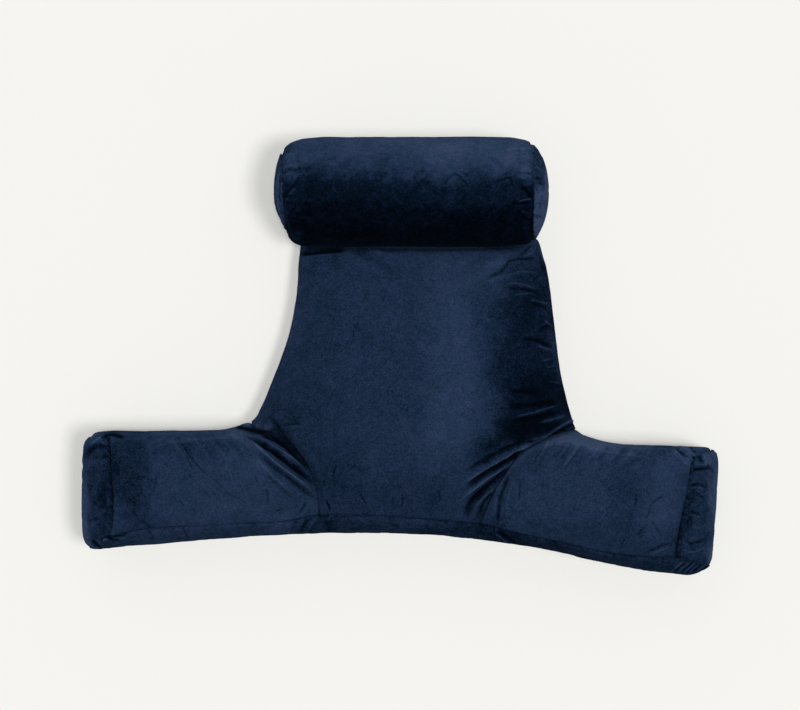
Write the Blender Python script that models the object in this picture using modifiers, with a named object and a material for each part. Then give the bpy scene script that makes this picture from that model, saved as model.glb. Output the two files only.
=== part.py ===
"""Reading pillow with two arms and a neck roll, lying on its back.

X runs along the spread arms, Y from the foot of the backrest to its head, Z up from the
surface that the pillow lies on.  The origin is under the middle of the whole pillow.
Each filled body is a crowned front panel inside its seam line, a wall that swells out to
the widest outline and draws in again below, and a flat back.
"""
import math

import bmesh
import bpy
from mathutils import Vector

# ---------------------------------------------------------------- driving dimensions (metres)
CLOTH = 0.002            # thickness of a gusset or end panel
END_DEPTH = 0.0035       # how far the roll's filling lies behind its end panels
CLEARANCE = 0.0007       # a panel's distance from the filling behind it
ARM_GAP = 0.0004         # an arm's shift away from the backrest, along X and Y

ARM_SEAM_Z = 0.120       # height of the seam between front panel and gussets
SIDE_SEAM_Z = 0.054      # upper edge of the backrest's knife-edge sides
HEAD_SEAM_Z = 0.036      # upper edge of the backrest's head, under the roll
WIDEST_SHARE = 0.55      # height of the widest outline, as a share of the seam's height
EDGE_ROUNDING = 0.006    # width of the rounding over a knife edge
FOLD_IN = 0.026          # how far the cloth draws in from the outline to the surface below

CORNER_GAP = 0.003       # an end panel's distance from the bottom gusset round the corner

ARM_STEPS = 18           # facets along an arm
JUNCTION_STEPS = 12      # facets along a seam between arm and backrest, and across an arm
SIDE_STEPS = 15          # facets along a free side of the backrest
NOTCH_STEPS = 5          # facets over which edges and folds come down to a notch
EDGE_STEPS = 3           # facets over which a knife edge's rounding fades out at a notch
HEAD_STEPS = 4           # facets over which the backrest's sides come down to its head
BACKREST_STEPS = 20      # facets across the backrest

# Height of a front panel's crown: way along the panel (0 to 1), height.
BACKREST_CROWN = [(0.0, 0.098), (0.2, 0.112), (0.5, 0.130), (0.75, 0.147), (1.0, 0.150)]
ARM_CROWN = [(0.0, 0.142), (0.3, 0.148), (0.8, 0.146), (1.0, 0.142)]
# How squarely a panel's crown fills out across and along it: 2 is a half circle.
BACKREST_FULLNESS = (2.4, 3.0)
ARM_FULLNESS = (2.6, 3.0)

# Wall heights between the front seam (0), the widest outline (1) and the surface (2).
WALL_LEVELS = [0.03, 0.2, 0.45, 0.7, 1.0, 1.45, 2.0]
PANEL_LEVELS = [0.07, 0.2, 0.45, 0.7, 1.0, 1.45, 1.75]

# ---------------------------------------------------------------- corners of the plan (x, y)
LEFT_NOTCH = (-0.221, -0.098)       # where an arm's outline meets the backrest's side
RIGHT_NOTCH = (0.257, -0.109)
LEFT_FOOT_SEAM = (-0.1155, -0.230)  # where the seam beside an arm reaches the foot's seam
RIGHT_FOOT_SEAM = (0.115, -0.242)
LEFT_FOOT = (-0.1125, -0.258)       # the same corners on the outline
RIGHT_FOOT = (0.107, -0.266)

# ---------------------------------------------------------------- plan of the backrest (x, y)
HEAD_EDGE = [(-0.145, 0.167), (0.030, 0.170), (0.201, 0.167)]
HEAD_SEAM = [(-0.139, 0.159), (0.030, 0.161), (0.195, 0.159)]
LEFT_SIDE = [HEAD_EDGE[0], (-0.148, 0.135), (-0.151, 0.083), (-0.167, 0.013),
             (-0.1945, -0.057), (-0.207, -0.085), LEFT_NOTCH]
RIGHT_SIDE = [HEAD_EDGE[-1], (0.212, 0.135), (0.2215, 0.083), (0.229, 0.013),
              (0.241, -0.057), (0.2505, -0.092), RIGHT_NOTCH]
FOOT_OUTLINE = [LEFT_FOOT, (0.000, -0.258), (0.065, -0.262), RIGHT_FOOT]
FOOT_SEAM = [LEFT_FOOT_SEAM, (-0.025, -0.231), (0.050, -0.237), RIGHT_FOOT_SEAM]

# Seams between arm and backrest, from the notch down to the foot's seam (x, y, z).
LEFT_JUNCTION = [(*LEFT_NOTCH, 0.048), (-0.197, -0.105, 0.072), (-0.173, -0.109, 0.093),
                 (-0.150, -0.133, 0.106), (-0.131, -0.161, 0.110), (-0.120, -0.189, 0.113),
                 (*LEFT_FOOT_SEAM, 0.118)]
RIGHT_JUNCTION = [(*RIGHT_NOTCH, 0.048), (0.236, -0.112, 0.072), (0.212, -0.120, 0.092),
                  (0.176, -0.139, 0.106), (0.152, -0.170, 0.110), (0.130, -0.206, 0.113),
                  (*RIGHT_FOOT_SEAM, 0.118)]

# ---------------------------------------------------------------- plan of the arms (x, y)
LEFT_ARM = {
    "upper outline": [LEFT_NOTCH, (-0.238, -0.102), (-0.262, -0.107), (-0.340, -0.109),
                      (-0.418, -0.109), (-0.441, -0.111), (-0.453, -0.1175)],
    "end outline": [(-0.453, -0.1175), (-0.459, -0.131), (-0.461, -0.165), (-0.461, -0.235),
                    (-0.458, -0.268), (-0.450, -0.279)],
    "lower outline": [LEFT_FOOT, (-0.186, -0.260), (-0.255, -0.265), (-0.348, -0.273),
                      (-0.418, -0.278), (-0.440, -0.281), (-0.450, -0.279)],
    "upper seam": [LEFT_NOTCH, (-0.238, -0.110), (-0.262, -0.116), (-0.340, -0.118),
                   (-0.416, -0.119)],
    "end seam": [(-0.416, -0.119), (-0.412, -0.190), (-0.411, -0.225), (-0.415, -0.260)],
    "lower seam": [LEFT_FOOT_SEAM, (-0.164, -0.238), (-0.247, -0.242), (-0.350, -0.248),
                   (-0.415, -0.260)],
}
RIGHT_ARM = {
    "upper outline": [RIGHT_NOTCH, (0.264, -0.115), (0.280, -0.1205), (0.305, -0.126), (0.348, -0.129),
                      (0.418, -0.131), (0.442, -0.132), (0.4545, -0.137)],
    "end outline": [(0.4545, -0.137), (0.460, -0.150), (0.460, -0.180), (0.4585, -0.215),
                    (0.455, -0.255), (0.452, -0.288), (0.447, -0.303)],
    "lower outline": [RIGHT_FOOT, (0.139, -0.270), (0.209, -0.280), (0.278, -0.296),
                      (0.348, -0.310), (0.394, -0.316), (0.423, -0.3175), (0.447, -0.303)],
    "upper seam": [RIGHT_NOTCH, (0.268, -0.122), (0.308, -0.137), (0.350, -0.140),
                   (0.419, -0.147)],
    "end seam": [(0.419, -0.147), (0.405, -0.225), (0.394, -0.288)],
    "lower seam": [RIGHT_FOOT_SEAM, (0.150, -0.251), (0.209, -0.264), (0.290, -0.282),
                   (0.355, -0.290), (0.394, -0.288)],
}

# ---------------------------------------------------------------- neck roll
ROLL_AXIS = Vector((0.0, 0.2355, 0.0775))   # a point on the roll's long axis, parallel to X
ROLL_SIDES = 28
# Half of the roll's lengthwise section, x and radius: left end, tube between its seams, right end.
ROLL_LEFT_END = [(-0.182, 0.000), (-0.181, 0.022), (-0.177, 0.040), (-0.170, 0.054)]
ROLL_TUBE = [(-0.164, 0.062), (-0.155, 0.071), (-0.140, 0.077), (-0.110, 0.0795), (-0.060, 0.080),
             (0.000, 0.0795), (0.060, 0.080), (0.120, 0.080), (0.160, 0.0785), (0.176, 0.0758),
             (0.1865, 0.0720)]
ROLL_RIGHT_END = [(0.1925, 0.0690), (0.1985, 0.0625), (0.205, 0.052), (0.210, 0.0385), (0.2135, 0.021),
                  (0.215, 0.000)]

# ---------------------------------------------------------------- colours (linear RGB)
PANEL_NAVY = (0.012, 0.024, 0.055)
GUSSET_NAVY = (0.009, 0.018, 0.041)
ROLL_NAVY = (0.016, 0.030, 0.066)
VELVET_ROUGHNESS = 0.9


def clear_scene():
    for item in list(bpy.data.objects):
        bpy.data.objects.remove(item, do_unlink=True)


def make_collection(name):
    collection = bpy.data.collections.new(name)
    bpy.context.scene.collection.children.link(collection)
    return collection


def velvet(name, colour):
    material = bpy.data.materials.new(name)
    material.use_nodes = True
    shader = material.node_tree.nodes["Principled BSDF"]
    shader.inputs["Base Color"].default_value = (*colour, 1.0)
    shader.inputs["Roughness"].default_value = VELVET_ROUGHNESS
    shader.inputs["Metallic"].default_value = 0.0
    return material


def add_object(name, bm, material, collection, parent):
    """Turn a finished bmesh into a smooth-shaded object of the pillow."""
    mesh = bpy.data.meshes.new(name)
    bm.to_mesh(mesh)
    bm.free()
    mesh.shade_smooth()
    mesh.materials.append(material)
    item = bpy.data.objects.new(name, mesh)
    item.parent = parent
    collection.objects.link(item)
    return item


# ---------------------------------------------------------------- lines and rings
def smooth_line(points, steps, height=0.0):
    """A rounded line through a table's points, as steps + 1 evenly spaced vectors."""
    knots = [Vector((*point, height)[:3]) for point in points]
    knots = [knots[0] * 2 - knots[1], *knots, knots[-1] * 2 - knots[-2]]
    dense = []
    for before, start, end, after in zip(knots, knots[1:], knots[2:], knots[3:]):
        for part in range(12):
            way = part / 12
            pull = (end - before) * 0.5 * (way - 2 * way ** 2 + way ** 3)
            push = (after - start) * 0.5 * (way ** 3 - way ** 2)
            ease = 3 * way ** 2 - 2 * way ** 3
            dense.append(start.lerp(end, ease) + pull + push)
    dense.append(knots[-2])
    reach = [0.0]
    for start, end in zip(dense, dense[1:]):
        reach.append(reach[-1] + (end - start).length)
    line = []
    piece = 0
    for step in range(steps + 1):
        goal = reach[-1] * step / steps
        while piece < len(dense) - 2 and reach[piece + 1] < goal:
            piece += 1
        share = (goal - reach[piece]) / (reach[piece + 1] - reach[piece])
        line.append(dense[piece].lerp(dense[piece + 1], share))
    return line


def closed_ring(sides):
    """One ring from four sides: along the first and second, back along the third and fourth."""
    first, second, third, fourth = sides
    return first[:-1] + second[:-1] + third[::-1][:-1] + fourth[::-1][:-1]


def inward(ring):
    """The level direction into the ring, at each of its points."""
    area = sum(start.x * end.y - end.x * start.y for start, end in zip(ring, ring[1:] + ring[:1]))
    turn = math.copysign(1.0, area)
    steps = []
    for place, point in enumerate(ring):
        along = ring[(place + 1) % len(ring)] - ring[place - 1]
        steps.append(Vector((-along.y, along.x, 0.0)).normalized() * turn)
    return steps


def drawn_in(widest, seam, junctions, notches):
    """The ring where the cloth meets the surface.

    It lies inside the outline, but straight below the seam at the junctions' places, and
    the cloth draws in less and less towards a notch.
    """
    base = []
    for place, (point, step) in enumerate(zip(widest, inward(widest))):
        if place in junctions:
            base.append(Vector((seam[place].x, seam[place].y, 0.0)))
        else:
            away = min((place - notch) % len(widest) for notch in notches)
            away = min(away, min((notch - place) % len(widest) for notch in notches))
            depth = FOLD_IN * min(1.0, away / NOTCH_STEPS)
            base.append(Vector((point.x, point.y, 0.0)) + step * depth)
    return base


def wall_point(seam, widest, base, level):
    """A point on the swelling wall: level 0 at the seam, 1 at the outline, 2 on the surface."""
    turn = level * math.pi / 2
    if level <= 1:
        point = seam.lerp(widest, math.sin(turn))
        point.z = widest.z + (seam.z - widest.z) * math.cos(turn)
    else:
        point = base.lerp(widest, math.sin(turn))
        point.z = widest.z * (1 + math.cos(turn))
    return point


# ---------------------------------------------------------------- filled bodies
def crown_share(way, fullness):
    """How much of the crown is reached on the way from one edge (0) to the other (1)."""
    return math.sqrt(max(0.0, 1 - abs(2 * way - 1) ** fullness))


def table_value(table, way):
    for (start, low), (end, high) in zip(table, table[1:]):
        if way <= end:
            return low + (high - low) * (way - start) / (end - start)
    return table[-1][1]


def patch_point(sides, across, down, columns, rows):
    """The point between four edge lines that lies the given number of steps across and down."""
    head, right, foot, left = sides
    u = across / columns
    v = down / rows
    between = head[across].lerp(foot[across], v) + left[down].lerp(right[down], u)
    corners = head[0].lerp(head[-1], u).lerp(foot[0].lerp(foot[-1], u), v)
    return between - corners


def give_thickness(item):
    cloth = item.modifiers.new("cloth", "SOLIDIFY")
    cloth.thickness = CLOTH
    cloth.offset = -1.0
    cloth.use_even_offset = True


# ---------------------------------------------------------------- arms and backrest
class Body:
    """The lines that shape one filled body: seam sides and three rings of equal length."""

    def __init__(self, seam_sides, widest_sides, junctions, notches):
        self.seam_sides = seam_sides
        self.seam = closed_ring(seam_sides)
        self.widest = closed_ring(widest_sides)
        for seam_point, widest_point in zip(self.seam, self.widest):
            widest_point.z = seam_point.z * WIDEST_SHARE
        self.base = drawn_in(self.widest, self.seam, junctions, notches)

    def column(self, place, levels):
        place %= len(self.seam)
        return [wall_point(self.seam[place], self.widest[place], self.base[place], level)
                for level in levels]


def junction_lines(table, foot_corner):
    """The seam between arm and backrest, and the line below it that ends at the outline."""
    upper = smooth_line(table, JUNCTION_STEPS)
    lower = [point.copy() for point in upper]
    lower[-1].xy = foot_corner
    return upper, lower


def arm_body(table, junction, foot_corner, shift):
    """Sides in order: junction, lower edge, outer end, upper edge; long sides start at the junction."""
    inner_seam, inner_widest = junction_lines(junction, foot_corner)
    seam_sides = [inner_seam,
                  smooth_line(table["lower seam"], ARM_STEPS, ARM_SEAM_Z),
                  smooth_line(table["end seam"], JUNCTION_STEPS, ARM_SEAM_Z),
                  smooth_line(table["upper seam"], ARM_STEPS, ARM_SEAM_Z)]
    widest_sides = [inner_widest,
                    smooth_line(table["lower outline"], ARM_STEPS),
                    smooth_line(table["end outline"], JUNCTION_STEPS),
                    smooth_line(table["upper outline"], ARM_STEPS)]
    for side, height in ((seam_sides[1], junction[-1][2]), (seam_sides[3], junction[0][2])):
        for step in range(NOTCH_STEPS):
            side[step].z += (height - side[step].z) * (1 - step / NOTCH_STEPS) ** 2
    move = Vector((*shift, 0.0))
    for side in seam_sides + widest_sides:
        for point in side:
            point += move
    return Body(seam_sides, widest_sides, junctions=range(JUNCTION_STEPS + 1), notches=[0])


def backrest_body():
    """Sides in order: head, right side with its junction, foot, left side with its junction."""
    seam_sides = [smooth_line(HEAD_SEAM, BACKREST_STEPS, HEAD_SEAM_Z), None,
                  smooth_line(FOOT_SEAM, BACKREST_STEPS, ARM_SEAM_Z), None]
    widest_sides = [smooth_line(HEAD_EDGE, BACKREST_STEPS), None,
                    smooth_line(FOOT_OUTLINE, BACKREST_STEPS), None]
    for number, outline, junction, foot_corner, turn in (
            (1, RIGHT_SIDE, RIGHT_JUNCTION, FOOT_OUTLINE[-1], -1),
            (3, LEFT_SIDE, LEFT_JUNCTION, FOOT_OUTLINE[0], 1)):
        inner_seam, inner_widest = junction_lines(junction, foot_corner)
        edge = smooth_line(outline, SIDE_STEPS)
        rounded = []
        for step, point in enumerate(edge):
            fade = min(1.0, (SIDE_STEPS - step) / EDGE_STEPS)
            height = junction[0][2] + (SIDE_SEAM_Z - junction[0][2]) * fade
            height += (HEAD_SEAM_Z - SIDE_SEAM_Z) * max(0.0, 1 - step / HEAD_STEPS) ** 2
            rounded.append(Vector((point.x + turn * EDGE_ROUNDING * fade, point.y, height)))
        rounded[0] = seam_sides[0][-1 if turn < 0 else 0].copy()
        seam_sides[number] = rounded[:-1] + inner_seam
        widest_sides[number] = edge[:-1] + inner_widest
    for number, place in ((1, -1), (3, 0)):
        seam_sides[2][place] = seam_sides[number][-1].copy()
    side = SIDE_STEPS + JUNCTION_STEPS
    right = range(BACKREST_STEPS + SIDE_STEPS, BACKREST_STEPS + side + 1)
    left = range(2 * BACKREST_STEPS + side, 2 * BACKREST_STEPS + side + JUNCTION_STEPS + 1)
    return Body(seam_sides, widest_sides, junctions=[*right, *left], notches=[right[0], left[-1]])


def filled(body, crown, fullness, covered):
    """A closed, crowned body, with its wall set back where a gusset or end panel covers it.

    covered names, for each such ring place, the place whose step back it takes.
    """
    columns = len(body.seam_sides[0]) - 1
    rows = len(body.seam_sides[1]) - 1
    bm = bmesh.new()
    place_of = bm.verts.layers.int.new("ring place")
    level_of = bm.verts.layers.int.new("wall level")
    bmesh.ops.create_grid(bm, x_segments=columns, y_segments=rows, size=0.5)
    for vert in bm.verts:
        across = round((vert.co.x + 0.5) * columns)
        down = round((0.5 - vert.co.y) * rows)
        share = (crown_share(across / columns, fullness[0])
                 * crown_share(down / rows, fullness[1]))
        vert.co = patch_point(body.seam_sides, across, down, columns, rows)
        vert.co.z += (table_value(crown, down / rows) - vert.co.z) * share
        if down == 0:
            vert[place_of] = across
        elif across == columns:
            vert[place_of] = columns + down
        elif down == rows:
            vert[place_of] = columns + rows + columns - across
        elif across == 0:
            vert[place_of] = 2 * (columns + rows) - down
    edges = [edge for edge in bm.edges if edge.is_boundary]
    for number, level in enumerate(WALL_LEVELS, start=1):
        wall = bmesh.ops.extrude_edge_only(bm, edges=edges)["geom"]
        for vert in wall:
            if isinstance(vert, bmesh.types.BMVert):
                vert[level_of] = number
                vert.co = body.column(vert[place_of], [level])[0]
        edges = [item for item in wall if isinstance(item, bmesh.types.BMEdge) and item.is_boundary]
    bmesh.ops.holes_fill(bm, edges=edges, sides=0)
    bmesh.ops.recalc_face_normals(bm, faces=bm.faces)
    steps = {}
    for vert in bm.verts:
        if vert[level_of]:
            step = -vert.normal * vert.calc_shell_factor() * (CLOTH + CLEARANCE)
            if vert[level_of] == len(WALL_LEVELS):
                step.z = 0.0
            steps[vert[place_of], vert[level_of]] = step
    for vert in bm.verts:
        if vert[level_of] and vert[place_of] in covered:
            vert.co += steps[covered[vert[place_of]], vert[level_of]]
    bmesh.ops.triangulate(bm, faces=[face for face in bm.faces if len(face.verts) > 4])
    return bm


def sheet(columns):
    """An open strip of cloth through columns of points, facing out."""
    bm = bmesh.new()
    across = len(columns) - 1
    down = len(columns[0]) - 1
    bmesh.ops.create_grid(bm, x_segments=across, y_segments=down, size=0.5)
    for vert in bm.verts:
        column = round((vert.co.x + 0.5) * across)
        row = round((0.5 - vert.co.y) * down)
        vert.co = columns[column][row]
    return bm


def shortened(columns):
    """The strip's last column pulled back, so that it ends clear of the gusset round the corner."""
    short = list(columns)
    short[-1] = [end + (before - end).normalized() * CORNER_GAP
                 for before, end in zip(columns[-2], columns[-1])]
    return short


# ---------------------------------------------------------------- neck roll
def turned(profile):
    """A surface turned round the roll's axis from a table of x and radius, flat underneath."""
    bm = bmesh.new()
    verts = [bm.verts.new((x, 0.0, radius)) for x, radius in profile]
    edges = [bm.edges.new(pair) for pair in zip(verts, verts[1:])]
    bmesh.ops.spin(bm, geom=verts + edges, cent=(0, 0, 0), axis=(1, 0, 0), angle=-math.tau,
                   steps=ROLL_SIDES, use_merge=True)
    bmesh.ops.remove_doubles(bm, verts=bm.verts, dist=0.00005)
    bmesh.ops.translate(bm, verts=bm.verts, vec=ROLL_AXIS)
    for vert in bm.verts:
        vert.co.z = max(vert.co.z, 0.0)
    return bm


# ---------------------------------------------------------------- the pillow
def build_pillow():
    parts = make_collection("reading_pillow")
    pillow = bpy.data.objects.new("reading_pillow", None)
    parts.objects.link(pillow)

    left = arm_body(LEFT_ARM, LEFT_JUNCTION, FOOT_OUTLINE[0], (-ARM_GAP, -ARM_GAP))
    right = arm_body(RIGHT_ARM, RIGHT_JUNCTION, FOOT_OUTLINE[-1], (ARM_GAP, -ARM_GAP))
    back = backrest_body()

    # Ring places: an arm's lower edge, outer end and corners; the backrest's foot.
    lower_edge = range(JUNCTION_STEPS, JUNCTION_STEPS + ARM_STEPS + 1)
    outer_end = range(lower_edge[-1], lower_edge[-1] + JUNCTION_STEPS + 1)
    foot_start = BACKREST_STEPS + SIDE_STEPS + JUNCTION_STEPS
    foot = range(foot_start, foot_start + BACKREST_STEPS + 1)
    arm_cover = {place: max(place, lower_edge[1]) for place in (*lower_edge, *outer_end)}
    foot_cover = {place: min(max(place, foot[1]), foot[-2]) for place in foot}

    bodies = (("backrest", back, BACKREST_CROWN, BACKREST_FULLNESS, foot_cover),
              ("arm_left", left, ARM_CROWN, ARM_FULLNESS, arm_cover),
              ("arm_right", right, ARM_CROWN, ARM_FULLNESS, arm_cover))
    for name, body, crown, fullness, covered in bodies:
        add_object(name, filled(body, crown, fullness, covered), velvet(name + " velvet", PANEL_NAVY),
                   parts, pillow)

    left_end = [left.column(place, PANEL_LEVELS) for place in reversed(outer_end)]
    right_end = [right.column(place, PANEL_LEVELS) for place in reversed(outer_end)]
    left_strip = [left.column(place, PANEL_LEVELS) for place in reversed(lower_edge)]
    foot_strip = [back.column(place, PANEL_LEVELS) for place in reversed(foot)]
    right_strip = [right.column(place, PANEL_LEVELS) for place in lower_edge]
    strip = left_strip[:-1] + foot_strip + right_strip[1:]
    for name, columns in (("end_panel_left", shortened(left_end)),
                          ("end_panel_right", shortened(right_end)[::-1]),
                          ("bottom_gusset", strip)):
        panel = add_object(name, sheet(columns), velvet(name + " velvet", GUSSET_NAVY), parts, pillow)
        give_thickness(panel)

    core_left = [(x + END_DEPTH, radius) for x, radius in ROLL_LEFT_END]
    core_right = [(x - END_DEPTH, radius) for x, radius in ROLL_RIGHT_END]
    add_object("neck_roll", turned(core_left + ROLL_TUBE + core_right),
               velvet("neck_roll velvet", ROLL_NAVY), parts, pillow)
    for name, profile in (("roll_end_left", ROLL_LEFT_END), ("roll_end_right", ROLL_RIGHT_END)):
        panel = add_object(name, turned(profile), velvet(name + " velvet", ROLL_NAVY), parts, pillow)
        give_thickness(panel)


clear_scene()
build_pillow()
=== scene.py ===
# %% [markdown]
# # A reading pillow in navy velvet
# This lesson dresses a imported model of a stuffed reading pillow: a backrest, two arms that are
# spread flat, and a neck roll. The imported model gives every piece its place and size. The lesson
# makes the looks: stuffed bodies with seams, puckers and folds, thin gussets sewn round them,
# and velvet whose pile lies this way here and that way there.

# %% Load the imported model
import math

import bmesh
import bpy
import numpy as np
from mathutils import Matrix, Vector
from mathutils import noise
from mathutils.bvhtree import BVHTree


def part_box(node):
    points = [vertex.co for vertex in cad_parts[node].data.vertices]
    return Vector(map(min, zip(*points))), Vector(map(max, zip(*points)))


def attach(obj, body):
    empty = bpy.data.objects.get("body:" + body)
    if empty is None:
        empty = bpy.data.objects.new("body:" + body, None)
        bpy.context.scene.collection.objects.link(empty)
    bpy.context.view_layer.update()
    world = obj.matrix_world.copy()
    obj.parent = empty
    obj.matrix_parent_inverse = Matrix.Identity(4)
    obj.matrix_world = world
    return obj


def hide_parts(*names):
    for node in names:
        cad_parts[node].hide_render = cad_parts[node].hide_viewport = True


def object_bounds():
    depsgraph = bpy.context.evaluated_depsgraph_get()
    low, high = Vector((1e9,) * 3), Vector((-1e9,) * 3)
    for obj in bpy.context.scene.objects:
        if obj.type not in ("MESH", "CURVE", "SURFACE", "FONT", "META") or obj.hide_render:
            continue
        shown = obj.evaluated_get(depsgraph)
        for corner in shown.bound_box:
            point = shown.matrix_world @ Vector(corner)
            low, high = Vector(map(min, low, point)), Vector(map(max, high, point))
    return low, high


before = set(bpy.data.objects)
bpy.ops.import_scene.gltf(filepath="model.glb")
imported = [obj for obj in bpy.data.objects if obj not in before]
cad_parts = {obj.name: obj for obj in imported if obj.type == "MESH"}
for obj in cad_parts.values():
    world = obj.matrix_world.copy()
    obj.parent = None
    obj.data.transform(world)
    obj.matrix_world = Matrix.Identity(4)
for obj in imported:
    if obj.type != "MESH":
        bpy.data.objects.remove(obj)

cad_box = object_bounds()
size = cad_box[1] - cad_box[0]
print("nodes:", sorted(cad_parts))
print("size in metres:", [round(side, 3) for side in size])

# %% [markdown]
# ## Camera
# The pillow lies on its back and is looked at from straight above. A long lens from far away
# keeps the walls of the cushions nearly hidden, as in a product picture. The distance and the
# width that the picture covers give the focal length.

# %% Set up the camera
PICTURE_WIDTH = 1.16          # metres covered at the height of the pillow's outline
OUTLINE_HEIGHT = 0.06
CAMERA_HEIGHT = 4.5

camera_data = bpy.data.cameras.new("camera")
camera_data.lens = camera_data.sensor_width * (CAMERA_HEIGHT - OUTLINE_HEIGHT) / PICTURE_WIDTH
camera = bpy.data.objects.new("camera", camera_data)
camera.location = (0.0, 0.0, CAMERA_HEIGHT)
bpy.context.scene.collection.objects.link(camera)
bpy.context.scene.camera = camera
print("focal length in millimetres:", round(camera_data.lens))

# %% [markdown]
# ## Floor and light
# A pale floor, a high soft key light a little to the right, which lays a soft shadow to the
# left, and a wide light from the head end that only models the folds and casts no shadow. The
# Standard view transform keeps the floor as pale as it is set.

# %% Lay the floor and hang the lights
FLOOR_COLOUR = (0.830, 0.823, 0.786, 1.0)
FLOOR_HALF_WIDTH = 6.0
FLOOR_DROP = 0.0005           # gap between the pillow's flat underside and the floor
SKY_COLOUR = (0.95, 0.96, 1.0, 1.0)
SKY_STRENGTH = 0.20

scene = bpy.context.scene
scene.view_settings.view_transform = "Standard"


def floor_material():
    material = bpy.data.materials.new("pale floor")
    material.use_nodes = True
    shader = material.node_tree.nodes["Principled BSDF"]
    shader.inputs["Base Color"].default_value = FLOOR_COLOUR
    shader.inputs["Roughness"].default_value = 0.9
    shader.inputs["Specular IOR Level"].default_value = 0.1
    return material


def sun(name, strength, direction, softness, shadow=True):
    """A distant light that shines from the given direction; softness is its width in degrees."""
    data = bpy.data.lights.new(name, "SUN")
    data.energy = strength
    data.angle = math.radians(softness)
    data.use_shadow = shadow
    light = bpy.data.objects.new(name, data)
    light.rotation_euler = Vector(direction).to_track_quat("Z", "Y").to_euler()
    scene.collection.objects.link(light)
    return light


floor_bm = bmesh.new()
bmesh.ops.create_grid(floor_bm, x_segments=8, y_segments=8, size=FLOOR_HALF_WIDTH)
bmesh.ops.translate(floor_bm, verts=floor_bm.verts, vec=(0.0, 0.0, -FLOOR_DROP))
floor_mesh = bpy.data.meshes.new("floor")
floor_bm.to_mesh(floor_mesh)
floor_bm.free()
floor = bpy.data.objects.new("floor", floor_mesh)
floor.data.materials.append(floor_material())
scene.collection.objects.link(floor)

sun("key light", strength=1.15, direction=(0.37, -0.10, 1.0), softness=16)
sun("top light", strength=0.9, direction=(0.02, 0.0, 1.0), softness=8)
sun("head light", strength=1.3, direction=(-0.45, 0.9, 1.0), softness=30, shadow=False)

world = bpy.data.worlds.new("studio")
world.use_nodes = True
world.node_tree.nodes["Background"].inputs["Color"].default_value = SKY_COLOUR
world.node_tree.nodes["Background"].inputs["Strength"].default_value = SKY_STRENGTH
scene.world = world

# %% [markdown]
# ## Lines on the cover
# A sewn cover is ruled by its seams: there the cloth is held down, and everywhere else the filling
# pushes it out. The same kind of line describes a fold, a pucker or a crease. So the first helper
# rounds a line through a few points, and the second finds the points of a piece that lie near a
# line, how far away they are and how far along it.

# %% Round a line and find what lies near it
SEAM_HEIGHT = 0.120           # of the seams between the front panels and the gussets

# Seams of the front panels, as plan points (x, y) in metres.
LEFT_END_SEAM = [(-0.416, -0.119), (-0.412, -0.190), (-0.411, -0.225), (-0.415, -0.260)]
RIGHT_END_SEAM = [(0.419, -0.147), (0.405, -0.225), (0.394, -0.288)]
FOOT_SEAM = [(-0.415, -0.260), (-0.350, -0.248), (-0.247, -0.242), (-0.164, -0.238),
             (-0.1155, -0.230), (-0.025, -0.231), (0.050, -0.237), (0.115, -0.242),
             (0.150, -0.251), (0.209, -0.264), (0.290, -0.282), (0.355, -0.290), (0.394, -0.288)]
# Seams between an arm and the backrest, as (x, y, z).
LEFT_JUNCTION = [(-0.221, -0.098, 0.048), (-0.197, -0.105, 0.072), (-0.173, -0.109, 0.093),
                 (-0.150, -0.133, 0.106), (-0.131, -0.161, 0.110), (-0.120, -0.189, 0.113),
                 (-0.1155, -0.230, 0.118)]
RIGHT_JUNCTION = [(0.257, -0.109, 0.048), (0.236, -0.112, 0.072), (0.212, -0.120, 0.092),
                  (0.176, -0.139, 0.106), (0.152, -0.170, 0.110), (0.130, -0.206, 0.113),
                  (0.115, -0.242, 0.118)]
ROLL_SEAMS = (-0.164, 0.190)  # x of the seams between the roll's tube and its ends


def rounded(line, steps=5):
    """A smooth line through the given points, with the given number of steps between two."""
    knots = np.array(line, dtype=float)
    knots = np.vstack([2 * knots[0] - knots[1], knots, 2 * knots[-1] - knots[-2]])
    way = np.linspace(0, 1, steps, endpoint=False)[:, None]
    made = []
    for before, start, end, after in zip(knots, knots[1:], knots[2:], knots[3:]):
        pull = (end - before) * 0.5 * (way - 2 * way ** 2 + way ** 3)
        push = (after - start) * 0.5 * (way ** 3 - way ** 2)
        made.append(start + (end - start) * (3 * way ** 2 - 2 * way ** 3) + pull + push)
    made.append(knots[-2:-1])
    return np.vstack(made)


def near_line(points, line, reach):
    """Numbers of the points within reach of a line, their distance and their way along it."""
    knots = rounded(line)
    inside = np.all((points > knots.min(0) - reach) & (points < knots.max(0) + reach), axis=1)
    part = np.flatnonzero(inside)
    here = points[part]
    lengths = np.linalg.norm(np.diff(knots, axis=0), axis=1)
    starts = np.concatenate([[0.0], np.cumsum(lengths)])
    away = np.full(len(part), 2 * reach)
    way = np.zeros(len(part))
    for start, end, before, length in zip(knots, knots[1:], starts, lengths):
        share = np.clip((here - start) @ (end - start) / length ** 2, 0, 1)
        gap = np.linalg.norm(here - start - share[:, None] * (end - start), axis=1)
        closer = gap < away
        away[closer] = gap[closer]
        way[closer] = (before + share[closer] * length) / starts[-1]
    return part, away, way


def ease(value):
    """0 below 0, 1 above 1, and a soft slope between."""
    value = np.clip(value, 0, 1)
    return value * value * (3 - 2 * value)


def ripple(points, size, seed=0.0):
    """Smooth noise from -1 to 1 with lumps of a size in metres; a seed picks another stretch of it."""
    shift = Vector((seed, 2.3 * seed, 5.1 * seed))
    return np.array([noise.noise(Vector(point) / size + shift) for point in points])


def raised(line, height=SEAM_HEIGHT):
    return [(*point, height) for point in line]


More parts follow.
